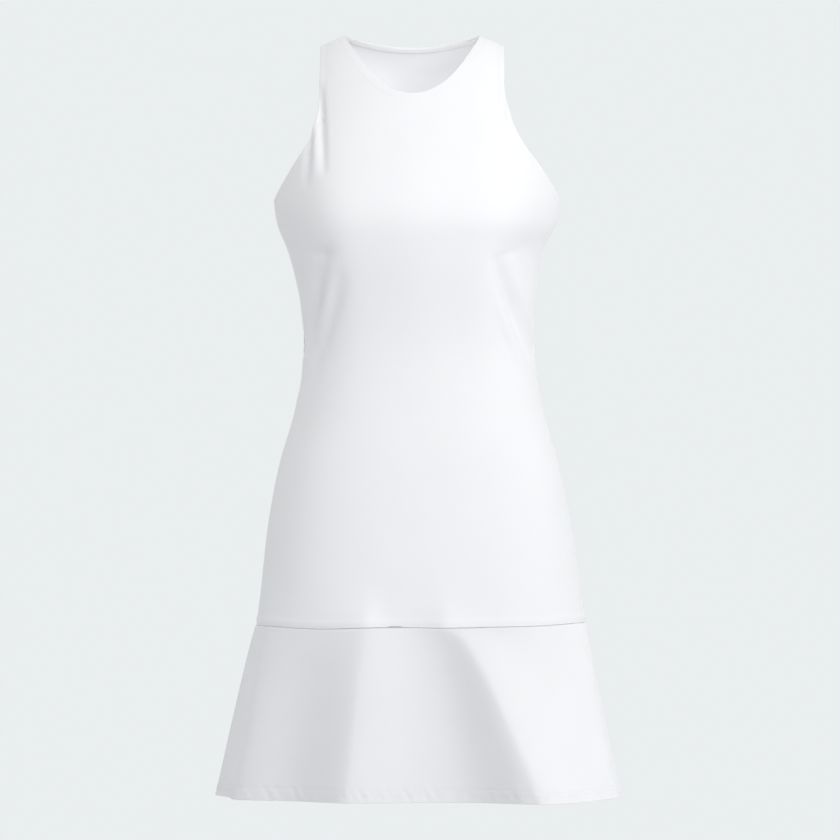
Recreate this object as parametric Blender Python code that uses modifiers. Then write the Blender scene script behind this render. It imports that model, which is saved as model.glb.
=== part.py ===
"""A sleeveless tennis dress in its worn shape, as walls of cloth that meet at their seams.

The cloth stands as it would on a general figure, with nothing inside it: a fitted bodice, cut
away to a narrow back between the armholes, and a flared flounce sewn on below the hips.

Units are metres, +Z is up and -Y is the front. The origin is the midpoint between the shoulders,
where a wearer holds the dress up. A place on the bodice is given as (across, up): across runs
from 0 at the centre to 1 at the side seam, and up is a height that runs on over the shoulder.
"""

import math
from collections import namedtuple

import bpy
import numpy as np

FRONT = -1
BACK = 1

# Cloth and seams
CLOTH = 0.0014
TAPE = 0.0009
SEAM_GAP = 0.0005
TAPE_GAP = 0.0004
QUARTER_GIRTH = 0.20
SEAM_FACET = 0.3

# The figure's girths, from the shoulder line down to the seam of the flounce
Section = namedtuple("Section", "name height half_width front back fullness sway")
SECTIONS = [
    Section("flounce_seam", -0.647, 0.1803, 0.114, 0.122, 0.28, 0.0017),
    Section("low_hip", -0.590, 0.1740, 0.112, 0.122, 0.28, 0.0009),
    Section("hip", -0.538, 0.1670, 0.108, 0.117, 0.28, -0.0003),
    Section("high_hip", -0.472, 0.1540, 0.102, 0.103, 0.28, -0.0010),
    Section("belly", -0.406, 0.1355, 0.094, 0.085, 0.26, -0.0010),
    Section("waist", -0.345, 0.1272, 0.088, 0.076, 0.25, -0.0015),
    Section("ribs", -0.285, 0.1305, 0.090, 0.082, 0.25, -0.0030),
    Section("underbust", -0.233, 0.1412, 0.097, 0.091, 0.25, -0.0054),
    Section("bust", -0.208, 0.1530, 0.102, 0.096, 0.25, -0.0036),
    Section("underarm", -0.188, 0.1568, 0.103, 0.098, 0.25, -0.0032),
    Section("armhole", -0.150, 0.1535, 0.099, 0.096, 0.24, -0.0036),
    Section("chest", -0.110, 0.1430, 0.087, 0.089, 0.20, -0.0058),
    Section("collar", -0.060, 0.1270, 0.069, 0.076, 0.15, -0.0083),
    Section("shoulder", 0.000, 0.1120, 0.050, 0.058, 0.10, -0.0085),
]

# The bust of the front, which the cloth bridges from side to side
BUST_RISE = 0.030
BUST_HEIGHT = -0.212
BUST_ACROSS = 0.45
BUST_SPREAD = 0.28
BUST_BRIDGE = 0.85
BRIDGE_SPREAD = 0.30
BUST_ABOVE = 0.080
BUST_BELOW = 0.105

# The shoulder line, and where the cloth starts to roll over it
SHOULDER_DEPTH = 0.005
SHOULDER_SLOPE = 0.50
SHOULDER_EASE = 0.008
SHOULDER_LIFT = 0.0035
ROLL_START = -0.050
ROLL_LENGTH = 0.080
SHOULDER_TOP = ROLL_START + ROLL_LENGTH
SEAM_FORWARD = 0.006
SEAM_UP = {
    FRONT: SHOULDER_TOP - SEAM_FORWARD - SEAM_GAP / 2,
    BACK: SHOULDER_TOP + SEAM_FORWARD - SEAM_GAP / 2,
}

# Neckline
NECK_HALF = 0.073
FRONT_NECK = {"drop": 0.065, "stations": 12, "scooped": True}
BACK_NECK = {"drop": 0.013, "stations": 10, "scooped": False}
NECK_SHAPE = 1.7
TAPE_WIDTH = 0.008

# Armholes, from the underarm up to the tip of the shoulder
Armhole = namedtuple("Armhole", "from_centre up")
FRONT_ARMHOLE = [
    Armhole(0.1570, -0.1800),
    Armhole(0.1515, -0.1700),
    Armhole(0.1372, -0.1470),
    Armhole(0.1180, -0.1180),
    Armhole(0.1070, -0.0900),
    Armhole(0.1020, -0.0550),
    Armhole(0.1010, -0.0150),
    Armhole(0.1010, SEAM_UP[FRONT]),
]
BACK_ARMHOLE = [
    Armhole(0.1570, -0.1800),
    Armhole(0.1400, -0.1760),
    Armhole(0.1080, -0.1620),
    Armhole(0.0800, -0.1370),
    Armhole(0.0650, -0.1050),
    Armhole(0.0640, -0.0720),
    Armhole(0.0760, -0.0400),
    Armhole(0.0930, -0.0050),
    Armhole(0.1010, SHOULDER_TOP),
    Armhole(0.1010, SEAM_UP[BACK]),
]

# Soft folds of the bodice, each a groove between two places seen from that side
Fold = namedtuple("Fold", "side x0 z0 x1 z1 bow half_width depth")
BODICE_FOLDS = [
    Fold(FRONT, -0.1080, -0.060, -0.1060, -0.158, 0.000, 0.006, 0.0034),
    Fold(FRONT, -0.1195, -0.100, -0.1240, -0.172, 0.000, 0.006, 0.0030),
    Fold(FRONT, 0.0925, -0.050, 0.0900, -0.110, 0.000, 0.006, 0.0030),
    Fold(FRONT, 0.1020, -0.100, 0.1085, -0.150, 0.000, 0.006, 0.0018),
    Fold(FRONT, -0.1040, -0.232, -0.1230, -0.350, 0.004, 0.009, 0.0030),
    Fold(FRONT, -0.0800, -0.240, -0.1210, -0.385, 0.010, 0.011, 0.0022),
    Fold(FRONT, 0.0830, -0.240, 0.1230, -0.362, 0.002, 0.009, 0.0030),
    Fold(FRONT, 0.0980, -0.236, 0.1230, -0.330, 0.000, 0.008, 0.0018),
    Fold(BACK, -0.0900, -0.300, -0.1130, -0.400, 0.006, 0.012, 0.0026),
    Fold(BACK, 0.0870, -0.310, 0.1120, -0.415, 0.006, 0.012, 0.0024),
    Fold(BACK, -0.0400, -0.350, 0.0450, -0.372, 0.008, 0.014, 0.0024),
]

# The seam of the flounce is level but for soft dips, in degrees around the skirt
Dip = namedtuple("Dip", "around half_width depth")
SEAM_DIPS = [
    Dip(-38.0, 17.0, 0.0025),
    Dip(8.0, 14.0, 0.0010),
    Dip(75.0, 25.0, -0.0030),
    Dip(150.0, 20.0, 0.0020),
    Dip(-140.0, 18.0, 0.0020),
]

# Flounce: its ring at the hem, and its waves in degrees around the skirt from the centre front
HEM_HEIGHT = -0.8345
HEM_HALF_WIDTH = 0.2115
HEM_SWAY = 0.0014
HEM_FRONT = 0.146
HEM_BACK = 0.158
HEM_FULLNESS = 0.50
FLARE = 1.05
Wave = namedtuple(
    "Wave",
    "at_seam at_hem left_seam left_hem right_seam right_hem rise_seam rise_hem",
)
WAVES = [
    Wave(-66.0, -60.0, 10.0, 11.0, 12.0, 13.0, 0.004, 0.022),
    Wave(-20.0, -21.5, 15.0, 12.5, 6.0, 34.0, 0.011, 0.054),
    Wave(8.0, 33.0, 6.0, 14.5, 8.0, 20.0, 0.007, 0.080),
    Wave(74.0, 72.0, 11.0, 13.0, 9.0, 10.0, 0.002, 0.010),
    Wave(104.0, 106.0, 9.0, 10.0, 10.0, 12.0, 0.002, 0.017),
    Wave(136.0, 140.0, 9.0, 12.0, 9.0, 11.0, 0.005, 0.032),
    Wave(168.0, 172.0, 10.0, 12.0, 10.0, 12.0, 0.004, 0.026),
    Wave(200.0, 206.0, 9.0, 11.0, 10.0, 13.0, 0.005, 0.034),
    Wave(236.0, 240.0, 10.0, 12.0, 8.0, 10.0, 0.004, 0.024),
    Wave(264.0, 268.0, 8.0, 9.0, 9.0, 11.0, 0.002, 0.015),
]
WAVE_CREST = 1.6
WAVE_GROWTH = 0.6
WAVE_DRIFT = 0.5
SWELL_REACH = 0.028

# How finely each piece is drawn
FRONT_GRID = {"shoulder": 4, "rows": 38, "rows_below_arm": 0.68, "sweep": 1.6}
BACK_GRID = {"shoulder": 5, "rows": 36, "rows_below_arm": 0.60, "sweep": 3.0}
NECK_HOLD = 5.0
FLOUNCE_COLUMNS = 60
FLOUNCE_ROWS = 8


def spline(knots, values, at):
    """A smooth curve through the values, read at the places asked for."""
    knots = np.asarray(knots, float)
    values = np.asarray(values, float)
    at = np.clip(at, knots[0], knots[-1])
    slopes = np.gradient(values, knots)
    i = np.clip(np.searchsorted(knots, at, side="right") - 1, 0, len(knots) - 2)
    gap = knots[i + 1] - knots[i]
    s = (at - knots[i]) / gap
    return (
        values[i] * (1 + 2 * s) * (1 - s) ** 2
        + slopes[i] * gap * s * (1 - s) ** 2
        + values[i + 1] * s**2 * (3 - 2 * s)
        + slopes[i + 1] * gap * s**2 * (s - 1)
    )


def section(column, height):
    """One column of the section table at a height."""
    heights = [row.height for row in SECTIONS]
    return spline(heights, [getattr(row, column) for row in SECTIONS], height)


def roll_angle(up):
    """How far the cloth has rolled over the shoulder, from 0 to a quarter turn."""
    return np.clip((up - ROLL_START) / ROLL_LENGTH, 0, 1) * math.pi / 2


def level_height(up):
    """The height of a place, with the shoulder line taken as level."""
    up = np.minimum(up, 2 * SHOULDER_TOP - up)
    return np.minimum(up, ROLL_START) - ROLL_START * np.sin(roll_angle(up))


def up_of_level(height):
    """The up of a place on the bodice from its level height."""
    rolled = np.arcsin(np.clip(1 - height / ROLL_START, 0, 1)) * 2 / math.pi
    return np.where(height < ROLL_START, height, ROLL_START + ROLL_LENGTH * rolled)


def across_of(from_centre, up):
    """The across of a place that lies this far from the centre line."""
    share = from_centre / section("half_width", level_height(up))
    return np.arcsin(np.clip(share, -1, 1)) * 2 / math.pi


def bust(across, height):
    """How far the bust pushes the front out, before the section's own shape."""
    reach = np.where(height > BUST_HEIGHT, BUST_ABOVE, BUST_BELOW)
    tall = np.exp(-(((height - BUST_HEIGHT) / reach) ** 2))
    left = np.exp(-(((across + BUST_ACROSS) / BUST_SPREAD) ** 2))
    right = np.exp(-(((across - BUST_ACROSS) / BUST_SPREAD) ** 2))
    between = BUST_BRIDGE * np.exp(-((across / BRIDGE_SPREAD) ** 2))
    return BUST_RISE * tall * (left + between + right)


def figure(side, across, up):
    """Points on the smooth figure, before any fold. Past the shoulder line they go on over it."""
    front = (side == FRONT) == (up <= SHOULDER_TOP)
    facing = np.where(front, FRONT, BACK)
    up = np.minimum(up, 2 * SHOULDER_TOP - up)
    height = level_height(up)
    turn = across * math.pi / 2
    roll = roll_angle(up)
    depth = np.where(front, section("front", height) + bust(across, height), section("back", height))
    depth = depth * np.cos(turn) * (1 + section("fullness", height) * np.sin(turn) ** 2)
    from_centre = section("half_width", height) * np.sin(turn)
    past_neck = (np.abs(from_centre) - NECK_HALF) / SHOULDER_EASE
    slope = SHOULDER_SLOPE * SHOULDER_EASE * np.log1p(np.exp(past_neck))
    x = section("sway", height) + from_centre
    y = SHOULDER_DEPTH + (facing * depth - SHOULDER_DEPTH) * np.cos(roll)
    z = height + (SHOULDER_LIFT - slope) * np.sin(roll)
    return np.stack([x, y, z], axis=-1)


def slopes_of(side, across, up):
    """How the figure's points move with across and with up."""
    step = 1e-4
    along = figure(side, across + step, up) - figure(side, across - step, up)
    rise = figure(side, across, up + step) - figure(side, across, up - step)
    return along / (2 * step), rise / (2 * step)


def outward(side, across, up):
    """The figure's unit normal, pointing away from the wearer."""
    along, rise = slopes_of(side, across, up)
    normal = np.cross(along, rise) * -side
    return normal / np.linalg.norm(normal, axis=-1, keepdims=True)


def fold_depth(side, x, z):
    """How far the soft folds of the bodice sink the cloth at a place."""
    total = np.zeros_like(x)
    for fold in BODICE_FOLDS:
        if fold.side != side:
            continue
        run = np.array([fold.x1 - fold.x0, fold.z1 - fold.z0])
        length = np.hypot(*run)
        run = run / length
        along = ((x - fold.x0) * run[0] + (z - fold.z0) * run[1]) / length
        off = (x - fold.x0) * run[1] - (z - fold.z0) * run[0]
        inside = np.clip(along, 0, 1)
        off = off - fold.bow * 4 * inside * (1 - inside) * np.sign(fold.x0)
        past = (along - inside) * length
        total += (
            fold.depth
            * np.exp(-(off**2 + past**2) / fold.half_width**2)
            * np.sin(math.pi * (0.1 + 0.8 * inside))
        )
    return total


def seam_height(around):
    """The height of the flounce's seam at an angle around the skirt."""
    height = np.full(np.shape(around), SECTIONS[0].height)
    for dip in SEAM_DIPS:
        off = (around - dip.around + 180) % 360 - 180
        height -= dip.depth * np.exp(-((off / dip.half_width) ** 2))
    return height


def around_of(side, across):
    """Degrees around the skirt from the centre front, towards +X."""
    return across * 90 if side == FRONT else 180 - across * 90


def waves(around, drop):
    """How far the flounce's waves stand out at an angle and a share of its depth."""
    total = np.zeros(np.broadcast(around, drop).shape)
    drift, growth = drop**WAVE_DRIFT, drop**WAVE_GROWTH
    for wave in WAVES:
        centre = wave.at_seam + (wave.at_hem - wave.at_seam) * drift
        left = wave.left_seam + (wave.left_hem - wave.left_seam) * drift
        right = wave.right_seam + (wave.right_hem - wave.right_seam) * drift
        rise = wave.rise_seam + (wave.rise_hem - wave.rise_seam) * growth
        off = (around - centre + 180) % 360 - 180
        spread = np.where(off < 0, left, right)
        total += rise * np.exp(-(np.abs(off / spread) ** WAVE_CREST))
    return total


def hem_ring(side, across):
    """The (x, y) of the ring at the hem, before its waves, with the level way out of it."""
    turn = across * math.pi / 2
    depth = side * (HEM_FRONT if side == FRONT else HEM_BACK)
    fullness = 1 + HEM_FULLNESS * np.sin(turn) ** 2
    y = depth * np.cos(turn) * fullness
    x_slope = HEM_HALF_WIDTH * np.cos(turn)
    y_slope = depth * np.sin(turn) * (2 * HEM_FULLNESS * np.cos(turn) ** 2 - fullness)
    away = np.stack([-y_slope, x_slope, 0 * turn], -1) * side
    away = away / np.linalg.norm(away, axis=-1, keepdims=True)
    return HEM_SWAY + HEM_HALF_WIDTH * np.sin(turn), y, away


def cloth(side, across, up, out=0.0):
    """Points of the bodice's cloth, moved out along the normal by a given amount.

    The waves of the flounce start in the last of it, over the seam.
    """
    place = figure(side, across, up)
    sunk = fold_depth(side, place[..., 0], place[..., 2])
    around = around_of(side, across)
    above = (up - seam_height(around)) / SWELL_REACH
    swell = waves(around, 0 * around) * np.exp(-(above**2))
    place = place + hem_ring(side, across)[2] * swell[..., None]
    return place + outward(side, across, up) * (out - sunk)[..., None]


def flounce(side, across, drop):
    """Points of the flounce, from its seam at drop 0 to its hem at drop 1."""
    around = around_of(side, across)
    top = figure(side, across, seam_height(around))
    hem_x, hem_y, away = hem_ring(side, across)
    flared = drop**FLARE
    x = top[..., 0] + (hem_x - top[..., 0]) * flared
    y = top[..., 1] + (hem_y - top[..., 1]) * flared
    z = top[..., 2] + (HEM_HEIGHT - top[..., 2]) * drop
    return np.stack([x, y, z], axis=-1) + away * waves(around, drop)[..., None]


def neckline(side, neck):
    """(across, up) along half a neckline, from the centre to the shoulder seam."""
    share = np.linspace(0, 1, neck["stations"] + 1)
    if neck["scooped"]:
        share = np.sin(share * math.pi / 2)
    up = up_of_level(-neck["drop"] * (1 - share**2) ** (NECK_SHAPE / 2))
    up = np.minimum(up, SEAM_UP[side])
    if side == BACK:
        share = np.append(share, 1.0)
        up = np.append(up, SEAM_UP[side])
    return np.stack([across_of(NECK_HALF * share, up), up], axis=-1)


def armhole(side, outline, share):
    """(across, up) at shares of an armhole, from the underarm to the tip of the shoulder."""
    points = np.array(outline)
    lengths = np.linalg.norm(np.diff(points, axis=0), axis=1)
    knots = np.concatenate([[0], np.cumsum(lengths)])
    at = share * knots[-1]
    from_centre = spline(knots, points[:, 0], at)
    up = np.minimum(spline(knots, points[:, 1], at), SEAM_UP[side])
    edge = 1 - SEAM_GAP / 2 / QUARTER_GIRTH
    return np.stack([np.minimum(across_of(from_centre, up), edge), up], axis=-1)


def shares(count):
    """Shares from 0 to 1 in even steps, with a short one at the end, where a seam is."""
    even = np.arange(count) / (count - 1 + SEAM_FACET)
    return np.append(even, 1.0)


def panel_places(side, outline, neck_cut, grid):
    """(across, up) of a bodice panel's points, row by row from its hem to its shoulders."""
    edge = 1 - SEAM_GAP / 2 / QUARTER_GIRTH
    v = shares(grid["rows"])
    neck = neckline(side, neck_cut)
    u = shares(len(neck) - 1 + grid["shoulder"])
    low = seam_height(around_of(side, u * edge)) + SEAM_GAP / 2
    bottom = np.stack([u * edge, low], axis=-1)
    tip = armhole(side, outline, np.ones(1))[0]
    strap = shares(grid["shoulder"])[1:, None]
    top = np.concatenate([neck, neck[-1] + (tip - neck[-1]) * strap])
    centre_up = bottom[0, 1] + (top[0, 1] - bottom[0, 1]) * v
    centre = np.stack([np.zeros_like(v), centre_up], axis=-1)
    below = v <= grid["rows_below_arm"]
    underarm = v[below][-1]
    share = v[below] / underarm
    side_up = bottom[-1, 1] + (outline[0].up - bottom[-1, 1]) * share
    side_seam = np.stack([np.full_like(share, edge), side_up], axis=-1)
    arm = armhole(side, outline, (v[~below] - underarm) / (1 - underarm))
    outer = np.concatenate([side_seam, arm])
    sideways = np.stack([u, u ** grid["sweep"]], axis=-1)[None]
    upwards = v[:, None, None]
    shaped = upwards**NECK_HOLD
    half = (
        (1 - sideways) * centre[:, None]
        + sideways * outer[:, None]
        + (1 - upwards) * (bottom - (1 - sideways) * bottom[0] - sideways * bottom[-1])
        + shaped * (top - (1 - sideways) * top[0] - sideways * top[-1])
    )
    mirrored = half[:, :0:-1] * [-1, 1]
    whole = np.concatenate([mirrored, half], axis=1)
    whole[0, :, 1] = seam_height(around_of(side, whole[0, :, 0])) + SEAM_GAP / 2
    return whole


def strip_places(side, edge, width):
    """(across, up) across a strip of this width that lies on the cloth along an edge line."""
    along, rise = slopes_of(side, edge[:, 0], edge[:, 1])
    points = figure(side, edge[:, 0], edge[:, 1])
    run = np.gradient(points, axis=0)
    inward = np.cross(run, outward(side, edge[:, 0], edge[:, 1]))
    inward = inward / np.linalg.norm(inward, axis=1, keepdims=True) * width
    slopes = np.stack([along, rise], axis=-1)
    moves = [np.linalg.lstsq(slope, move, rcond=None)[0] for slope, move in zip(slopes, inward)]
    inner = edge + np.array(moves)
    inner[:, 1] = np.minimum(inner[:, 1], SEAM_UP[side])
    return inner


def surface(name, rows, ring=False):
    """A mesh object through rows of points, closed round on itself if it is a ring."""
    rows = np.asarray(rows)
    count, width = rows.shape[:2]
    points = rows.reshape(-1, 3)
    faces = []
    for i in range(count if ring else count - 1):
        j = (i + 1) % count
        for k in range(width - 1):
            faces.append((i * width + k, i * width + k + 1, j * width + k + 1, j * width + k))
    mesh = bpy.data.meshes.new(name)
    mesh.from_pydata([tuple(p) for p in points], [], faces)
    mesh.update()
    mesh.shade_smooth()
    return bpy.data.objects.new(name, mesh)


def thicken(obj, thickness):
    """Gives an open surface its wall, growing inwards from the outer face."""
    wall = obj.modifiers.new("Wall", "SOLIDIFY")
    wall.thickness = thickness
    wall.offset = -1


def knit(name, colour, roughness):
    """A matt cloth material."""
    material = bpy.data.materials.new(name)
    material.use_nodes = True
    shader = material.node_tree.nodes["Principled BSDF"]
    shader.inputs["Base Color"].default_value = (*colour, 1)
    shader.inputs["Roughness"].default_value = roughness
    shader.inputs["Metallic"].default_value = 0
    return material


def bodice_panel(name, side, outline, neck_cut, grid):
    """The front or the back of the bodice, from the flounce's seam to the shoulders."""
    places = panel_places(side, outline, neck_cut, grid)
    rows = cloth(side, places[..., 0], places[..., 1])
    return surface(name, rows if side == FRONT else rows[:, ::-1])


def flounce_panel(name, side):
    """The front or the back half of the flounce, from its seam to its hem."""
    edge = 1 - SEAM_GAP / 2 / QUARTER_GIRTH
    across = np.linspace(-edge, edge, FLOUNCE_COLUMNS + 1)
    depth = SECTIONS[0].height - HEM_HEIGHT
    drop = np.linspace(1, SEAM_GAP / 2 / depth, FLOUNCE_ROWS + 1)
    rows = flounce(side, across[None, :], drop[:, None])
    return surface(name, rows if side == FRONT else rows[:, ::-1])


def tape_rows(side, edge):
    """The points of a tape inside the cloth along an edge line, station by station."""
    inner = strip_places(side, edge, -TAPE_WIDTH)
    steps = np.linspace(0, 1, 3)[None, :, None]
    places = edge[:, None] + (inner - edge)[:, None] * steps
    return cloth(side, places[..., 0], places[..., 1], -(CLOTH + TAPE_GAP))


def neck_tape():
    """The ring of tape inside the neckline."""
    half = neckline(FRONT, FRONT_NECK)
    front = np.concatenate([half[:0:-1] * [-1, 1], half])
    half = neckline(BACK, BACK_NECK)
    back = np.concatenate([half[:0:-1] * [-1, 1], half])[::-1]
    rows = [tape_rows(FRONT, front), tape_rows(BACK, back)[1:-1]]
    return surface("neck_tape", np.concatenate(rows)[:, ::-1], ring=True)


def build():
    """Makes every piece of the dress in a collection of its own."""
    for obj in list(bpy.data.objects):
        bpy.data.objects.remove(obj)
    dress = bpy.data.collections.new("tennis_dress")
    bpy.context.scene.collection.children.link(dress)
    white = knit("white_knit", (0.92, 0.92, 0.94), 0.75)
    tape = knit("white_tape", (0.90, 0.90, 0.90), 0.80)
    panels = [
        bodice_panel("front_bodice", FRONT, FRONT_ARMHOLE, FRONT_NECK, FRONT_GRID),
        bodice_panel("back_bodice", BACK, BACK_ARMHOLE, BACK_NECK, BACK_GRID),
        flounce_panel("front_flounce", FRONT),
        flounce_panel("back_flounce", BACK),
    ]
    for pieces, material, thickness in ((panels, white, CLOTH), ([neck_tape()], tape, TAPE)):
        for obj in pieces:
            obj.data.materials.append(material)
            thicken(obj, thickness)
            dress.objects.link(obj)


build()
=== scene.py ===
"""A sleeveless white tennis dress in its worn shape, with nothing inside it.

Each panel of knit is a fine grid on the same figure as the solids. Its raw edges are turned in as
a maker turns them, and the turned sheet then gets the thickness of the cloth. Geometry Nodes make
the waves of the flounce and every row of stitches.

Units are metres, +Z is up and -Y is the front. A place on the bodice is (across, up): across runs
from 0 at the centre to 1 at the side seam, and up is a height that runs on over the shoulder.
"""

from __future__ import annotations

import logging
import math
from collections.abc import Sequence
from dataclasses import astuple, dataclass, field
from enum import Enum

import bpy
import numpy as np
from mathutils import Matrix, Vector
from mathutils.bvhtree import BVHTree
from mathutils.kdtree import KDTree

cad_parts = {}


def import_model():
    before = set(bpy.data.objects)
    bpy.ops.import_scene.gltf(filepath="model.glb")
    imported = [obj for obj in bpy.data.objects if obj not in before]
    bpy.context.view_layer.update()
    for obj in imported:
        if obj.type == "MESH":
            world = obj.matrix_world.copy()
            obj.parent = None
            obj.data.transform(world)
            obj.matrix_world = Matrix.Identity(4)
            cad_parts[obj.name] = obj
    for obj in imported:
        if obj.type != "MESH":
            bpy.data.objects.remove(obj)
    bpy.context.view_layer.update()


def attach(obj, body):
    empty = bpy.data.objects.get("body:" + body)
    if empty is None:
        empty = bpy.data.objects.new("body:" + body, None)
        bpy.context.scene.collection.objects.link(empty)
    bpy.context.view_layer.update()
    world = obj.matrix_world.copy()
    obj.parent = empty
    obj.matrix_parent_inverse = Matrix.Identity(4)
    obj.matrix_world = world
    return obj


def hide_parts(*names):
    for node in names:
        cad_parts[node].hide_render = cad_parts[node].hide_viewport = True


log = logging.getLogger("tennis_dress")

MM = 0.001
BODY = "root"
CUT_MAP = "Cut"
WHOLE_TURN = 2 * math.pi
FOLD_FADE = 0.1
YARN_SCALE = 900.0
YARN_SHARE = 0.4
PATCH_DETAIL = 3.0
RIPPLES = 6
RIPPLE_LENGTHS = (0.6, 1.7)

Triple = tuple[float, float, float]


class Side(Enum):
    """The half of the dress that a panel belongs to, as the sign of its Y."""

    FRONT = -1
    BACK = 1


class Edge(Enum):
    """The kinds of edge that a panel has."""

    HIP = "hip seam"
    SIDE = "side seam"
    ARMHOLE = "armhole"
    SHOULDER = "shoulder seam"
    NECK = "neck"
    HEM = "hem"


@dataclass(frozen=True)
class Section:
    """One girth of the figure: its height, half width, depths, fullness and sideways sway."""

    height: float
    half_width: float
    front: float
    back: float
    fullness: float
    sway: float


@dataclass(frozen=True)
class Fold:
    """A soft groove in the bodice between two places seen from its own side, in metres."""

    side: Side
    x0: float
    z0: float
    x1: float
    z1: float
    bow: float
    half_width: float
    depth: float


@dataclass(frozen=True)
class Dip:
    """A soft dip of the hip seam, in degrees around the skirt and metres down."""

    around: float
    half_width: float
    depth: float


@dataclass(frozen=True)
class Wave:
    """One wave of the flounce, in degrees around the skirt from the centre front.

    Its place, the spreads of its two slopes and its rise in metres go from one value at the seam
    to another at the hem.
    """

    at_seam: float
    at_hem: float
    left_seam: float
    left_hem: float
    right_seam: float
    right_hem: float
    rise_seam: float
    rise_hem: float


@dataclass(frozen=True)
class ArmPoint:
    """A point of an armhole, from the centre line and up."""

    from_centre: float
    up: float


@dataclass(frozen=True)
class Ridge:
    """A low ridge or groove that follows an edge of a panel.

    Its middle lies at a distance from the edge, and it is soft to either side. A band is level
    from the edge to that distance, where it ends in a soft step.
    """

    edge: Edge
    height: float
    at: float
    soft: float
    band: bool = False


SECTIONS = (
    Section(-0.647, 0.1803, 0.114, 0.122, 0.28, 0.0017),
    Section(-0.590, 0.1740, 0.112, 0.122, 0.28, 0.0009),
    Section(-0.538, 0.1670, 0.108, 0.117, 0.28, -0.0003),
    Section(-0.472, 0.1540, 0.102, 0.103, 0.28, -0.0010),
    Section(-0.406, 0.1355, 0.094, 0.085, 0.26, -0.0010),
    Section(-0.345, 0.1272, 0.088, 0.076, 0.25, -0.0015),
    Section(-0.285, 0.1305, 0.090, 0.082, 0.25, -0.0030),
    Section(-0.233, 0.1412, 0.097, 0.091, 0.25, -0.0054),
    Section(-0.208, 0.1530, 0.102, 0.096, 0.25, -0.0036),
    Section(-0.188, 0.1568, 0.103, 0.098, 0.25, -0.0032),
    Section(-0.150, 0.1535, 0.099, 0.096, 0.24, -0.0036),
    Section(-0.110, 0.1430, 0.087, 0.089, 0.20, -0.0058),
    Section(-0.060, 0.1270, 0.069, 0.076, 0.15, -0.0083),
    Section(0.000, 0.1120, 0.050, 0.058, 0.10, -0.0085),
)

FOLDS = (
    Fold(Side.FRONT, -0.1094, -0.060, -0.1050, -0.150, 0.000, 0.0042, 0.0046),
    Fold(Side.FRONT, -0.1200, -0.108, -0.1245, -0.164, 0.000, 0.0036, 0.0044),
    Fold(Side.FRONT, 0.0925, -0.050, 0.0890, -0.098, 0.000, 0.0050, 0.0042),
    Fold(Side.FRONT, 0.0990, -0.088, 0.1090, -0.140, 0.000, 0.0040, 0.0016),
    Fold(Side.FRONT, -0.1145, -0.100, -0.1145, -0.158, 0.000, 0.0036, -0.0012),
    Fold(Side.FRONT, -0.1210, -0.2420, -0.0960, -0.2405, 0.000, 0.0065, 0.0036),
    Fold(Side.FRONT, -0.1310, -0.2480, -0.1290, -0.2950, 0.000, 0.0040, 0.0024),
    Fold(Side.FRONT, -0.1060, -0.2400, -0.1240, -0.3450, 0.001, 0.0075, 0.0090),
    Fold(Side.FRONT, -0.0970, -0.2600, -0.1150, -0.3350, 0.001, 0.0060, -0.0030),
    Fold(Side.FRONT, -0.0860, -0.2700, -0.1280, -0.3850, 0.003, 0.0075, 0.0048),
    Fold(Side.FRONT, 0.0830, -0.2440, 0.1140, -0.2340, 0.001, 0.0050, 0.0012),
    Fold(Side.FRONT, 0.0850, -0.2500, 0.1195, -0.3480, 0.001, 0.0065, 0.0085),
    Fold(Side.FRONT, 0.1010, -0.2520, 0.1215, -0.3320, 0.001, 0.0050, -0.0036),
    Fold(Side.FRONT, 0.0860, -0.2960, 0.1150, -0.3660, 0.001, 0.0055, -0.0030),
    Fold(Side.FRONT, 0.1225, -0.2460, 0.1290, -0.3000, 0.000, 0.0030, -0.0012),
    Fold(Side.BACK, -0.0900, -0.300, -0.1130, -0.400, 0.006, 0.012, 0.0026),
    Fold(Side.BACK, 0.0870, -0.310, 0.1120, -0.415, 0.006, 0.012, 0.0024),
    Fold(Side.BACK, -0.0400, -0.350, 0.0450, -0.372, 0.008, 0.014, 0.0024),
)

DIPS = (
    Dip(-38.0, 17.0, 0.0025),
    Dip(8.0, 14.0, 0.0010),
    Dip(75.0, 25.0, -0.0030),
    Dip(150.0, 20.0, 0.0020),
    Dip(-140.0, 18.0, 0.0020),
)

WAVE_CREST = 1.6
WAVES = (
    Wave(-66.0, -60.0, 10.0, 11.0, 12.0, 13.0, 0.004, 0.022),
    Wave(-20.0, -21.5, 15.0, 12.5, 6.0, 34.0, 0.011, 0.054),
    Wave(8.0, 33.0, 6.0, 14.5, 8.0, 20.0, 0.007, 0.080),
    Wave(74.0, 72.0, 11.0, 13.0, 9.0, 10.0, 0.002, 0.010),
    Wave(104.0, 106.0, 9.0, 10.0, 10.0, 12.0, 0.002, 0.017),
    Wave(136.0, 140.0, 9.0, 12.0, 9.0, 11.0, 0.005, 0.032),
    Wave(168.0, 172.0, 10.0, 12.0, 10.0, 12.0, 0.004, 0.026),
    Wave(200.0, 206.0, 9.0, 11.0, 10.0, 13.0, 0.005, 0.034),
    Wave(236.0, 240.0, 10.0, 12.0, 8.0, 10.0, 0.004, 0.024),
    Wave(264.0, 268.0, 8.0, 9.0, 9.0, 11.0, 0.002, 0.015),
)

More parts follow.
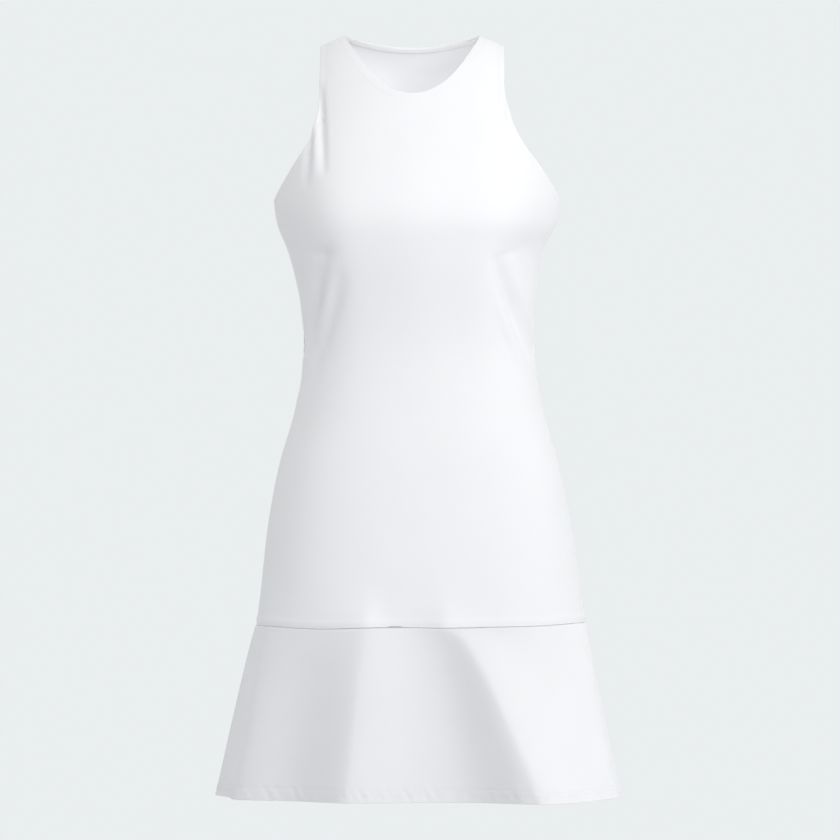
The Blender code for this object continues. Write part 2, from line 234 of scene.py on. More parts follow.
BODICE_RIDGES = (
    Ridge(Edge.HIP, 0.7 * MM, 6 * MM, 3 * MM),
    Ridge(Edge.NECK, 0.15 * MM, 8 * MM, 1.2 * MM, band=True),
    Ridge(Edge.NECK, -0.05 * MM, 8 * MM, 1.0 * MM),
    Ridge(Edge.ARMHOLE, 0.45 * MM, 1.5 * MM, 2.2 * MM),
    Ridge(Edge.ARMHOLE, -0.18 * MM, 8 * MM, 0.8 * MM),
    Ridge(Edge.SIDE, -0.35 * MM, 0, 2.5 * MM),
)
FLOUNCE_RIDGES = (
    Ridge(Edge.HEM, 0.25 * MM, 14 * MM, 0.8 * MM, band=True),
    Ridge(Edge.HEM, -0.45 * MM, 14 * MM, 1.4 * MM),
    Ridge(Edge.HIP, 0.25 * MM, 4 * MM, 3 * MM),
    Ridge(Edge.SIDE, -0.35 * MM, 0, 2.5 * MM),
)


def spline(knots: Sequence[float], values: Sequence[float], at: np.ndarray) -> np.ndarray:
    """Reads a smooth curve through some values.

    Args:
        knots: The places of the values, in rising order.
        values: The values there.
        at: The places to read, held within the knots.

    Returns:
        The curve's values at those places.
    """
    knots, values = np.asarray(knots, float), np.asarray(values, float)
    at = np.clip(at, knots[0], knots[-1])
    slopes = np.gradient(values, knots)
    i = np.clip(np.searchsorted(knots, at, side="right") - 1, 0, len(knots) - 2)
    gap = knots[i + 1] - knots[i]
    s = (at - knots[i]) / gap
    return (
        values[i] * (1 + 2 * s) * (1 - s) ** 2
        + slopes[i] * gap * s * (1 - s) ** 2
        + values[i + 1] * s**2 * (3 - 2 * s)
        + slopes[i + 1] * gap * s**2 * (s - 1)
    )


def bump(distance: np.ndarray, centre: float, width: float) -> np.ndarray:
    """A smooth hump of height 1 at a distance, this wide to either side."""
    return np.exp(-(((distance - centre) / width) ** 2))


def band(distance: np.ndarray, width: float, softness: float) -> np.ndarray:
    """1 up to a width and 0 past it, with a soft step between."""
    return 0.5 - 0.5 * np.tanh((distance - width) / (2 * softness))


def degrees_past(around: np.ndarray, at: float) -> np.ndarray:
    """How many degrees angles lie past another, from -180 to 180."""
    return (around - at + 180) % 360 - 180


def unit(vectors: np.ndarray) -> np.ndarray:
    """The same vectors, each of length 1."""
    return vectors / np.linalg.norm(vectors, axis=-1, keepdims=True)


def ripple(along: np.ndarray, period: float, seed: int) -> np.ndarray:
    """An uneven ripple along a line, between about -1 and 1.

    Args:
        along: Distances along the line.
        period: The usual length of one ripple.
        seed: Fixes the unevenness.

    Returns:
        The ripple's height at each distance.
    """
    chance = np.random.default_rng(seed)
    total = np.zeros_like(along)
    for _ in range(RIPPLES):
        length = period * chance.uniform(*RIPPLE_LENGTHS)
        total += np.sin(WHOLE_TURN * (along / length + chance.uniform()))
    return total * 2 / RIPPLES


def graded(count: int, fine_start: int, fine_end: int, fineness: float) -> np.ndarray:
    """Shares from 0 to 1 whose steps are finer near the ends.

    Args:
        count: How many steps there are.
        fine_start: How many of the first steps are fine.
        fine_end: How many of the last steps are fine.
        fineness: A fine step's length as a share of a plain one's.

    Returns:
        count + 1 rising shares.
    """
    steps = np.ones(count)
    steps[:fine_start] = fineness
    if fine_end:
        steps[-fine_end:] = fineness
    return np.concatenate([[0.0], np.cumsum(steps)]) / steps.sum()


@dataclass(frozen=True)
class Bust:
    """The bust of the front, which the cloth bridges from side to side."""

    rise: float = 0.030
    height: float = -0.212
    across: float = 0.45
    spread: float = 0.28
    bridge: float = 0.85
    bridge_spread: float = 0.30
    above: float = 0.080
    below: float = 0.105


@dataclass(frozen=True)
class Shoulder:
    """The shoulder line, and how the cloth rolls over it."""

    depth: float = 0.005
    slope: float = 0.50
    ease: float = 0.008
    lift: float = 0.0035
    roll_start: float = -0.050
    roll_length: float = 0.080
    neck_half: float = 0.073

    @property
    def top(self) -> float:
        """The up of the shoulder line."""
        return self.roll_start + self.roll_length


@dataclass(frozen=True)
class Figure:
    """The smooth form that the bodice is fitted over."""

    sections: tuple[Section, ...] = SECTIONS
    bust: Bust = Bust()
    shoulder: Shoulder = Shoulder()

    def section(self, column: str, height: np.ndarray) -> np.ndarray:
        """One column of the section table at some heights."""
        heights = [row.height for row in self.sections]
        return spline(heights, [getattr(row, column) for row in self.sections], height)

    def roll(self, up: np.ndarray) -> np.ndarray:
        """Tells how far the cloth has rolled over the shoulder.

        Args:
            up: Heights that run on over the shoulder.

        Returns:
            The angle of the roll at each, from 0 to a quarter turn.
        """
        shoulder = self.shoulder
        share = (up - shoulder.roll_start) / shoulder.roll_length
        return np.clip(share, 0, 1) * math.pi / 2

    def level_height(self, up: np.ndarray) -> np.ndarray:
        """Gives the height of places, with the shoulder line taken as level.

        Args:
            up: Heights that run on over the shoulder.

        Returns:
            The level height of each.
        """
        start = self.shoulder.roll_start
        up = np.minimum(up, 2 * self.shoulder.top - up)
        return np.minimum(up, start) - start * np.sin(self.roll(up))

    def up_of_level(self, height: np.ndarray) -> np.ndarray:
        """Turns level heights back into ups, on this side of the shoulder.

        Args:
            height: Level heights.

        Returns:
            The up of each.
        """
        start = self.shoulder.roll_start
        rolled = np.arcsin(np.clip(1 - height / start, 0, 1)) * 2 / math.pi
        return np.where(height < start, height, start + self.shoulder.roll_length * rolled)

    def across_of(self, from_centre: np.ndarray, up: np.ndarray) -> np.ndarray:
        """The across of a place that lies this far from the centre line."""
        share = from_centre / self.section("half_width", self.level_height(up))
        return np.arcsin(np.clip(share, -1, 1)) * 2 / math.pi

    def bust_rise(self, across: np.ndarray, height: np.ndarray) -> np.ndarray:
        """Tells how far the bust pushes the front out, before the section's own shape.

        Args:
            across: Places from side seam to side seam, -1 to 1.
            height: Their level heights.

        Returns:
            The push at each place.
        """
        bust = self.bust
        reach = np.where(height > bust.height, bust.above, bust.below)
        sides = bump(across, bust.across, bust.spread) + bump(across, -bust.across, bust.spread)
        sides = sides + bust.bridge * bump(across, 0, bust.bridge_spread)
        return bust.rise * np.exp(-(((height - bust.height) / reach) ** 2)) * sides

    def point(self, side: Side, across: np.ndarray, up: np.ndarray) -> np.ndarray:
        """Finds points on the smooth form. Past the shoulder line they go on over it.

        Args:
            side: The panel's side.
            across: Places from side seam to side seam, -1 to 1.
            up: Heights that run on over the shoulder.

        Returns:
            The points, with x, y and z on the last axis.
        """
        shoulder = self.shoulder
        front = (side is Side.FRONT) == (up <= shoulder.top)
        facing = np.where(front, Side.FRONT.value, Side.BACK.value)
        up = np.minimum(up, 2 * shoulder.top - up)
        height = self.level_height(up)
        turn = across * math.pi / 2
        roll = self.roll(up)
        ahead = self.section("front", height) + self.bust_rise(across, height)
        depth = np.where(front, ahead, self.section("back", height)) * np.cos(turn)
        depth = depth * (1 + self.section("fullness", height) * np.sin(turn) ** 2)
        from_centre = self.section("half_width", height) * np.sin(turn)
        past_neck = (np.abs(from_centre) - shoulder.neck_half) / shoulder.ease
        slope = shoulder.slope * shoulder.ease * np.log1p(np.exp(past_neck))
        x = self.section("sway", height) + from_centre
        y = shoulder.depth + (facing * depth - shoulder.depth) * np.cos(roll)
        z = height + (shoulder.lift - slope) * np.sin(roll)
        return np.stack([x, y, z], axis=-1)

    def outward(self, side: Side, across: np.ndarray, up: np.ndarray) -> np.ndarray:
        """Finds the form's unit normals, pointing away from the wearer.

        Args:
            side: The panel's side.
            across: Places from side seam to side seam, -1 to 1.
            up: Heights that run on over the shoulder.

        Returns:
            A normal for each place.
        """
        step = 0.1 * MM
        along = self.point(side, across + step, up) - self.point(side, across - step, up)
        rise = self.point(side, across, up + step) - self.point(side, across, up - step)
        return unit(np.cross(along, rise) * -side.value)


class Sheet:
    """A grid of cloth, row by row, that edges are turned on and stitches are laid on."""

    def __init__(self, points: np.ndarray, labels: np.ndarray) -> None:
        """Takes the grid's points.

        Args:
            points: Rows from the bottom up, each from the left as seen from outside.
            labels: The Edge that each vertex of the rim belongs to, anticlockwise from the
                lower left corner.
        """
        self.points = points
        self.labels = labels
        self.normals = unit(np.cross(np.gradient(points, axis=1), np.gradient(points, axis=0)))
        index = np.arange(points.shape[0] * points.shape[1]).reshape(points.shape[:2])
        corners = [index[:-1, :-1], index[:-1, 1:], index[1:, 1:], index[1:, :-1]]
        self.faces = np.stack(corners, -1).reshape(-1, 4)
        self.rim = np.concatenate(
            [index[0, :-1], index[:-1, -1], index[-1, :0:-1], index[:0:-1, 0]]
        )
        self.tree = BVHTree.FromPolygons(points.reshape(-1, 3).tolist(), self.faces.tolist())

    @staticmethod
    def rim_of(values: np.ndarray) -> np.ndarray:
        """Reads a grid around its rim.

        Args:
            values: One value, label or vector for each point of the grid.

        Returns:
            Those of the rim, anticlockwise from the lower left corner.
        """
        return np.concatenate(
            [values[0, :-1], values[:-1, -1], values[-1, :0:-1], values[:0:-1, 0]]
        )

    def rim_frame(self) -> tuple[np.ndarray, np.ndarray, np.ndarray]:
        """Gives the rim and how it faces.

        Returns:
            The rim's points, its directions out of the cloth, and its normals.
        """
        points = self.rim_of(self.points)
        normals = self.rim_of(self.normals)
        run = np.roll(points, -1, axis=0) - np.roll(points, 1, axis=0)
        return points, unit(np.cross(run, normals)), normals

    def lay(self, places: np.ndarray, lift: float) -> tuple[np.ndarray, np.ndarray]:
        """Lays places on the cloth.

        Args:
            places: Points near the cloth.
            lift: How far above its face they come to lie.

        Returns:
            The points on the cloth, and its normals there.
        """
        flat = self.normals.reshape(-1, 3)
        found = [self.tree.find_nearest(place) for place in places.tolist()]
        points = np.array([hit[0][:] for hit in found])
        normals = unit(flat[self.faces[[hit[2] for hit in found]]].mean(axis=1))
        return points + normals * lift, normals

    def runs(self, edge: Edge) -> list[np.ndarray]:
        """The stretches of the rim that are an edge of this kind."""
        at = np.flatnonzero(self.labels == edge)
        return np.split(at, np.flatnonzero(np.diff(at) != 1) + 1) if len(at) else []

    def beside(
        self, run: np.ndarray, inset: float, lift: float
    ) -> tuple[np.ndarray, np.ndarray]:
        """Follows an edge at a distance, on the cloth.

        Args:
            run: A stretch of the rim, from runs().
            inset: The distance in from the edge.
            lift: How far above the cloth's face the line lies.

        Returns:
            The line's points, and the cloth's normals there.
        """
        points, out, _ = self.rim_frame()
        return self.lay(points[run] - out[run] * inset, lift)

    def distance(self, edge: Edge, fineness: int = 8) -> np.ndarray:
        """Measures how far the grid lies from the edges of one kind.

        Args:
            edge: The kind of edge.
            fineness: How many places of an edge are tried for each of its vertices.

        Returns:
            Each point's distance from the nearest one.
        """
        flat = self.points.reshape(-1, 3)
        rim = flat[self.rim]
        lines = []
        for run in self.runs(edge):
            line = rim[np.append(run, (run[-1] + 1) % len(rim))]
            share = np.linspace(0, len(line) - 1, fineness * len(line))
            knots = np.arange(len(line))
            lines.append(np.stack([np.interp(share, knots, axis) for axis in line.T], -1))
        line = np.concatenate(lines)
        tree = KDTree(len(line))
        for i, place in enumerate(line.tolist()):
            tree.insert(place, i)
        tree.balance()
        away = [tree.find(place)[2] for place in flat.tolist()]
        return np.array(away).reshape(self.points.shape[:2])

    def raised(self, height: np.ndarray) -> Sheet:
        """The same sheet with its points moved out along their normals."""
        return Sheet(self.points + self.normals * height[..., None], self.labels)

    def ridged(self, ridges: Sequence[Ridge]) -> np.ndarray:
        """Adds up ridges and grooves along the edges.

        Args:
            ridges: The ridges and grooves.

        Returns:
            How far they lift each point of the grid.
        """
        edges = dict.fromkeys(ridge.edge for ridge in ridges)
        away = {edge: self.distance(edge) for edge in edges}
        total = np.zeros(self.points.shape[:2])
        for ridge in ridges:
            shape = band if ridge.band else bump
            total += ridge.height * shape(away[ridge.edge], ridge.at, ridge.soft)
        return total

    def cut_map(self) -> np.ndarray:
        """Lays the sheet out flat.

        Returns:
            Each point's place on the flat cut, in metres, from the centre and the bottom row.
        """
        steps = np.linalg.norm(np.diff(self.points, axis=1), axis=-1)
        across = np.concatenate([np.zeros((len(steps), 1)), np.cumsum(steps, axis=1)], axis=1)
        middle = across.shape[1] // 2
        rises = np.linalg.norm(np.diff(self.points, axis=0), axis=-1)
        zero = np.zeros((1, rises.shape[1]))
        up = np.concatenate([zero, np.cumsum(rises, axis=0)], axis=0)
        return np.stack([across - across[:, middle : middle + 1], up], axis=-1)


@dataclass(frozen=True)
class Turnings:
    """How the raw edges of a panel are turned in, and the cloth's thickness."""

    widths: dict[Edge, float] = field(
        default_factory=lambda: {
            Edge.HIP: 7 * MM,
            Edge.SIDE: 6 * MM,
            Edge.ARMHOLE: 8 * MM,
            Edge.SHOULDER: 6 * MM,
            Edge.NECK: 8 * MM,
            Edge.HEM: 14 * MM,
        }
    )
    fold: float = 0.55 * MM
    cloth: float = 0.45 * MM
    bends: int = 4
    runs_in: int = 4

    def allowance(self, sheet: Sheet) -> np.ndarray:
        """Gives the width of the turnings, mitred at the corners.

        Args:
            sheet: The panel's face.

        Returns:
            The width turned in at each vertex of its rim.
        """
        points, _, _ = sheet.rim_frame()
        steps = np.linalg.norm(np.roll(points, -1, axis=0) - points, axis=1)
        at = np.concatenate([[0], np.cumsum(steps)[:-1]])
        girth = steps.sum()
        changes = [i for i in range(len(at)) if sheet.labels[i] != sheet.labels[i - 1]]
        gaps = np.abs(at[:, None] - at[changes][None])
        from_corner = np.minimum(gaps, girth - gaps).min(axis=1)
        widths = np.array([self.widths[label] for label in sheet.labels])
        return np.minimum(widths, from_corner)

    def turn(self, sheet: Sheet, name: str) -> bpy.types.Object:
        """Makes the panel's object, with its edges turned in and its cloth given thickness.

        Args:
            sheet: The panel's face.
            name: The piece's name.

        Returns:
            An object at the origin, with its cut map.
        """
        points, out, normals = sheet.rim_frame()
        width = self.allowance(sheet)
        cut = sheet.cut_map()
        rim_cut = sheet.rim_of(cut)
        run = np.roll(rim_cut, -1, axis=0) - np.roll(rim_cut, 1, axis=0)
        cut_out = unit(np.stack([run[:, 1], -run[:, 0]], axis=-1))
        vertices = sheet.points.reshape(-1, 3).copy()
        centre = points - out * self.fold - normals * self.fold
        vertices[sheet.rim] = centre + normals * self.fold
        rings, cuts = [], []
        for bend in range(1, self.bends + 1):
            turn = math.pi * bend / self.bends
            rings.append(centre + (normals * math.cos(turn) + out * math.sin(turn)) * self.fold)
            cuts.append(rim_cut + cut_out * turn * self.fold)
        for i in range(1, self.runs_in + 1):
            inset = width[:, None] * i / self.runs_in
            rings.append(sheet.lay(points - out * (self.fold + inset), -2 * self.fold)[0])
            cuts.append(rim_cut + cut_out * (math.pi * self.fold + inset))
        count, size = len(sheet.rim), len(vertices)
        rows = [sheet.rim] + [size + count * i + np.arange(count) for i in range(len(rings))]
        faces = [sheet.faces]
        for a, b in zip(rows, rows[1:]):
            after_a, after_b = np.roll(a, -1), np.roll(b, -1)
            faces.append(np.stack([after_a, a, b, after_b], axis=-1))
        obj = mesh_object(name, np.concatenate([vertices, *rings]), np.concatenate(faces))
        write_cut_map(obj.data, np.concatenate([cut.reshape(-1, 2), *cuts]))
        wall = obj.modifiers.new("Cloth", "SOLIDIFY")
        wall.thickness = self.cloth
        wall.offset = -1
        return obj


def mesh_object(name: str, vertices: np.ndarray, faces: np.ndarray) -> bpy.types.Object:
    """Makes a smooth mesh object in the scene.

    Args:
        name: Its name.
        vertices: Its vertices, one in each row.
        faces: The indices of each face's vertices, one face in each row.

    Returns:
        The object.
    """
    mesh = bpy.data.meshes.new(name)
    mesh.from_pydata(vertices.tolist(), [], faces.tolist())
    mesh.update()
    mesh.shade_smooth()
    obj = bpy.data.objects.new(name, mesh)
    bpy.context.scene.collection.objects.link(obj)
    return obj


def write_cut_map(mesh: bpy.types.Mesh, places: np.ndarray) -> None:
    """Writes each vertex's place on the flat cut as the mesh's UV map.

    Args:
        mesh: The mesh to write to.
        places: One place for each vertex, in metres.
    """
    corner = np.zeros(len(mesh.loops), np.int32)
    mesh.loops.foreach_get("vertex_index", corner)
    layer = mesh.uv_layers.new(name=CUT_MAP)
    layer.data.foreach_set("uv", places[corner].astype(np.float32).ravel())


class Nodes:
    """Writes the nodes of one tree in short lines."""

    def __init__(self, tree: bpy.types.NodeTree) -> None:
        """Takes the tree to write in."""
        self.tree = tree

    def socket(self, name: str, kind: str, out: bool = False, value: object = None) -> None:
        """Adds a named socket to the tree.

        Args:
            name: The socket's name.
            kind: Its type, without the word NodeSocket.
            out: Whether it is an output.
            value: Its default value, if it has one.
        """
        way = "OUTPUT" if out else "INPUT"
        item = self.tree.interface.new_socket(name, in_out=way, socket_type="NodeSocket" + kind)
        if value is not None:
            item.default_value = value

    def add(self, kind: str, *values: object, **settings: object) -> bpy.types.Node:
        """Adds a node.

        Args:
            kind: The node's type.
            values: What its inputs get in order: a socket, a value, or None to skip one.
            settings: The node's own settings.

        Returns:
            The node.
        """
        node = self.tree.nodes.new(kind)
        for name, setting in settings.items():
            setattr(node, name, setting)
        for socket, value in zip(node.inputs, values):
            self.put(socket, value)
        return node

    def put(self, socket: bpy.types.NodeSocket, value: object) -> None:
        """Links a socket to another, or sets its value.

        Args:
            socket: The socket.
            value: What it gets: a socket, a value, or None to leave it alone.
        """
        if isinstance(value, bpy.types.NodeSocket):
            self.tree.links.new(value, socket)
        elif value is not None:
            socket.default_value = value

    def fill(self, node: bpy.types.Node, values: dict[str, object]) -> None:
        """Puts values in a node's inputs.

        Args:
            node: The node.
            values: What its inputs get, by name, as put() takes them.
        """
        for name, value in values.items():
            self.put(node.inputs[name], value)

    def math(self, operation: str, *values: object) -> bpy.types.NodeSocket:
        """The result of a Math node."""
        return self.add("ShaderNodeMath", *values, operation=operation).outputs[0]

    def attribute(self, name: str, kind: str) -> bpy.types.NodeSocket:
        """A named attribute of the mesh that a geometry tree works on."""
        read = self.add("GeometryNodeInputNamedAttribute", name, data_type=kind)
        return read.outputs["Attribute"]

    def vector(self, operation: str, *values: object) -> bpy.types.NodeSocket:
        """The result of a Vector Math node."""
        return self.add("ShaderNodeVectorMath", *values, operation=operation).outputs[0]


def geometry_tree(name: str) -> Nodes:
    """Starts a Geometry Nodes tree with a geometry input and output.

    Args:
        name: The tree's name.

    Returns:
        The tree's writer.
    """
    nodes = Nodes(bpy.data.node_groups.new(name, "GeometryNodeTree"))
    nodes.socket("Geometry", "Geometry")
    nodes.socket("Geometry", "Geometry", out=True)
    return nodes


def close_tree(
    nodes: Nodes, geometry: bpy.types.NodeSocket, material: bpy.types.NodeSocket
) -> None:
    """Ends a geometry tree with Realize Instances and Set Material.

    Args:
        nodes: The tree's writer.
        geometry: What the tree made.
        material: The material that it gets.
    """
    real = nodes.add("GeometryNodeRealizeInstances", geometry).outputs[0]
    dressed = nodes.add("GeometryNodeSetMaterial", real, None, material).outputs[0]
    nodes.add("NodeGroupOutput", dressed)


def grow(
    nodes: Nodes, mesh: bpy.types.Mesh, name: str, values: dict[str, object]
) -> bpy.types.Mesh:
    """Runs a Geometry Nodes tree on a mesh.

    Args:
        nodes: The tree's writer.
        mesh: What the tree starts from.
        name: The new mesh's name.
        values: What the tree's named inputs get.

    Returns:
        The plain mesh that the tree makes.
    """
    source = bpy.data.objects.new(name + "_base", mesh)
    bpy.context.scene.collection.objects.link(source)
    modifier = source.modifiers.new(nodes.tree.name, "NODES")
    modifier.node_group = nodes.tree
    for item in nodes.tree.interface.items_tree:
        if item.in_out == "INPUT" and item.name in values:
            modifier[item.identifier] = values[item.name]
    graph = bpy.context.evaluated_depsgraph_get()
    made = bpy.data.meshes.new_from_object(source.evaluated_get(graph), depsgraph=graph)
    made.name = name
    bpy.data.objects.remove(source)
    return made


def knit_group() -> bpy.types.NodeTree:
    """Builds the shader group for a fine knit: columns of V-shaped stitches on the flat cut.

    Returns:
        The group, which puts out the knit's height.
    """
    nodes = Nodes(bpy.data.node_groups.new("Fine knit", "ShaderNodeTree"))
    nodes.socket("Wale", "Float", value=0.6 * MM)
    nodes.socket("Course", "Float", value=0.5 * MM)
    nodes.socket("Slant", "Float", value=0.9)
    nodes.socket("Height", "Float", out=True)
    given = nodes.add("NodeGroupInput").outputs
    cut = nodes.add("ShaderNodeUVMap", uv_map=CUT_MAP).outputs[0]
    place = nodes.add("ShaderNodeSeparateXYZ", cut).outputs
    wale = nodes.math("DIVIDE", place[0], given["Wale"])
    course = nodes.math("DIVIDE", place[1], given["Course"])
    off_middle = nodes.math("PINGPONG", wale, 0.5)
    slanted = nodes.math("MULTIPLY_ADD", off_middle, given["Slant"], course)
    yarn = nodes.math("SINE", nodes.math("MULTIPLY", slanted, WHOLE_TURN))
    column = nodes.math("SINE", nodes.math("MULTIPLY", off_middle, WHOLE_TURN))
    height = nodes.math("MULTIPLY_ADD", yarn, 0.25, nodes.math("MULTIPLY", column, 0.5))
    nodes.add("NodeGroupOutput", height)
    return nodes.tree


def tone_group() -> bpy.types.NodeTree:
    """Builds the shader group for a cloth's slight unevenness: soft patches and fine yarn.

    Returns:
        The group, which puts out the uneven colour and its soft patches.
    """
    nodes = Nodes(bpy.data.node_groups.new("Cloth tone", "ShaderNodeTree"))
    nodes.socket("Color", "Color", value=(0.9, 0.9, 0.9, 1))
    nodes.socket("Patch Size", "Float", value=0.05)
    nodes.socket("Unevenness", "Float", value=0.02)
    nodes.socket("Color", "Color", out=True)
    nodes.socket("Patch", "Float", out=True)
    given = nodes.add("NodeGroupInput").outputs
    place = nodes.add("ShaderNodeTexCoord").outputs["Object"]
    scale = nodes.math("DIVIDE", 1.0, given["Patch Size"])
    patch = nodes.add("ShaderNodeTexNoise", place).outputs[0]
    patch.node.inputs["Detail"].default_value = PATCH_DETAIL
    nodes.put(patch.node.inputs["Scale"], scale)
    yarn = nodes.add("ShaderNodeTexNoise", place).outputs[0]
    yarn.node.inputs["Scale"].default_value = YARN_SCALE
    both = nodes.math("MULTIPLY_ADD", yarn, YARN_SHARE, patch)
    level = nodes.math("SUBTRACT", both, (1 + YARN_SHARE) / 2)
    bright = nodes.math("MULTIPLY_ADD", level, given["Unevenness"], 1.0)
    colour = nodes.vector("SCALE", given["Color"])
    nodes.put(colour.node.inputs["Scale"], bright)
    nodes.add("NodeGroupOutput", colour, patch)
    return nodes.tree


@dataclass(frozen=True)
class ClothFinish:
    """A matt white cloth or thread: its colour, its knit and the softness of its surface."""

    name: str
    color: Triple
    roughness: float = 0.80
    sheen: float = 0.25
    wale: float = 0.62 * MM
    course: float = 0.50 * MM
    relief: float = 0.06 * MM
    unevenness: float = 0.03
    patch_size: float = 0.05
    patch_relief: float = 0.02 * MM
    specular: float = 0.25
    sheen_roughness: float = 0.5
    bump_strength: float = 0.6
    knitted: bool = True

    def material(self, groups: dict[str, bpy.types.NodeTree]) -> bpy.types.Material:
        """Builds the finish's material.

        Args:
            groups: The shared shader groups by name.

        Returns:
            The material.
        """
        material = bpy.data.materials.new(self.name)
        material.use_nodes = True
        nodes = Nodes(material.node_tree)
        shader = material.node_tree.nodes["Principled BSDF"]
        tone = nodes.add("ShaderNodeGroup", node_tree=groups["tone"])
        nodes.fill(
            tone,
            {
                "Color": (*self.color, 1),
                "Patch Size": self.patch_size,
                "Unevenness": self.unevenness,
            },
        )
        height, distance = tone.outputs["Patch"], self.patch_relief
        if self.knitted:
            knit = nodes.add("ShaderNodeGroup", node_tree=groups["knit"])
            nodes.fill(knit, {"Wale": self.wale, "Course": self.course})
            height, distance = knit.outputs["Height"], self.relief
        relief = nodes.add("ShaderNodeBump")
        strength = self.bump_strength
        nodes.fill(relief, {"Strength": strength, "Distance": distance, "Height": height})
        nodes.fill(
            shader,
            {
                "Base Color": tone.outputs["Color"],
                "Roughness": self.roughness,
                "Specular IOR Level": self.specular,
                "Sheen Weight": self.sheen,
                "Sheen Roughness": self.sheen_roughness,
                "Normal": relief.outputs[0],
            },
        )
        return material


KNIT = ClothFinish("white_knit", (0.93, 0.93, 0.945))
TAPE = ClothFinish(
    "white_tape",
    (0.91, 0.91, 0.91),
    roughness=0.85,
    sheen=0.15,
    wale=1.0 * MM,
    course=0.8 * MM,
)
THREAD = ClothFinish(
    "white_thread", (0.92, 0.92, 0.93), roughness=0.6, sheen=0.1, knitted=False
)


@dataclass(frozen=True)
class Wardrobe:
    """The dress's finishes, made once."""

    knit: bpy.types.Material
    tape: bpy.types.Material
    thread: bpy.types.Material

    @classmethod
    def open(cls) -> Wardrobe:
        """Builds the shared groups and the three finishes.

        Returns:
            The wardrobe, with a material for each finish.
        """
        groups = {"knit": knit_group(), "tone": tone_group()}
        return cls(*(finish.material(groups) for finish in (KNIT, TAPE, THREAD)))


@dataclass(frozen=True)
class HipSeam:
    """The seam between the bodice and the flounce: level but for soft dips.

    The waves of the flounce start at it, and stand out towards the ring of the hem.
    """

    height: float = -0.647
    swell_reach: float = 0.028
    hem_half_width: float = 0.2115
    hem_sway: float = 0.0014
    hem_fullness: float = 0.50
    hem_depth: dict[Side, float] = field(
        default_factory=lambda: {Side.FRONT: 0.146, Side.BACK: 0.158}
    )
    gap: float = 0.3 * MM
    quarter_girth: float = 0.20
    dips: tuple[Dip, ...] = DIPS

    @property
    def side_edge(self) -> float:
        """The across of a panel's side edge, half a seam gap short of the side."""
        return 1 - self.gap / 2 / self.quarter_girth

    def around(self, side: Side, across: np.ndarray) -> np.ndarray:
        """Degrees around the skirt from the centre front, towards +X."""
        return across * 90 if side is Side.FRONT else 180 - across * 90

    def swell(self, around: np.ndarray) -> np.ndarray:
        """Tells how far the tops of the waves push the seam out.

        Args:
            around: Degrees around the skirt from the centre front.

        Returns:
            The push at each of these angles.
        """
        total = np.zeros(np.shape(around))
        for wave in WAVES:
            off = degrees_past(around, wave.at_seam)
            spread = np.where(off < 0, wave.left_seam, wave.right_seam)
            total += wave.rise_seam * np.exp(-(np.abs(off / spread) ** WAVE_CREST))
        return total

    def ring(
        self, side: Side, across: np.ndarray
    ) -> tuple[np.ndarray, np.ndarray, np.ndarray]:
        """The ring at the hem, before its waves.

        Args:
            side: Which side's half it is.
            across: Shares of its half girth, from the middle.

        Returns:
            The ring's x, its y, and the level way out of it, in which the waves stand.
        """
        turn = across * math.pi / 2
        depth = side.value * self.hem_depth[side]
        fullness = 1 + self.hem_fullness * np.sin(turn) ** 2
        y = depth * np.cos(turn) * fullness
        x_slope = self.hem_half_width * np.cos(turn)
        y_slope = depth * np.sin(turn) * (2 * self.hem_fullness * np.cos(turn) ** 2 - fullness)
        away = unit(np.stack([-y_slope, x_slope, 0 * turn], -1) * side.value)
        return self.hem_sway + self.hem_half_width * np.sin(turn), y, away

    def height_at(self, around: np.ndarray) -> np.ndarray:
        """Follows the seam up and down.

        Args:
            around: Degrees around the skirt from the centre front.

        Returns:
            The seam's height at each of these angles.
        """
        height = np.full(np.shape(around), self.height)
        for dip in self.dips:
            off = degrees_past(around, dip.around)
            height -= dip.depth * bump(off, 0, dip.half_width)
        return height


@dataclass(frozen=True)
class PanelCut:
    """The cut of one bodice panel, and how its grid is spread over it."""

    name: str
    node: str
    side: Side
    neck_drop: float
    neck_share: float
    scooped: bool
    over_share: float
    seam_up: float
    underarm: float
    sweep: float
    armhole: tuple[ArmPoint, ...]


FRONT_CUT = PanelCut(
    name="bodice_front",
    node="front_bodice",
    side=Side.FRONT,
    neck_drop=0.065,
    neck_share=0.784,
    scooped=True,
    over_share=0.0,
    seam_up=0.02375,
    underarm=0.6702,
    sweep=1.6,
    armhole=(
        ArmPoint(0.1570, -0.1800),
        ArmPoint(0.1515, -0.1700),
        ArmPoint(0.1372, -0.1470),
        ArmPoint(0.1180, -0.1180),
        ArmPoint(0.1070, -0.0900),
        ArmPoint(0.1020, -0.0550),
        ArmPoint(0.1010, -0.0150),
        ArmPoint(0.1010, 0.02375),
    ),
)
BACK_CUT = PanelCut(
    name="bodice_back",
    node="back_bodice",
    side=Side.BACK,
    neck_drop=0.013,
    neck_share=0.719,
    scooped=False,
    over_share=1 / 11,
    seam_up=0.03575,
    underarm=0.595,
    sweep=3.0,
    armhole=(
        ArmPoint(0.1570, -0.1800),
        ArmPoint(0.1400, -0.1760),
        ArmPoint(0.1080, -0.1620),
        ArmPoint(0.0800, -0.1370),
        ArmPoint(0.0650, -0.1050),
        ArmPoint(0.0640, -0.0720),
        ArmPoint(0.0760, -0.0400),
        ArmPoint(0.0930, -0.0050),
        ArmPoint(0.1010, 0.0300),
        ArmPoint(0.1010, 0.03575),
    ),
)


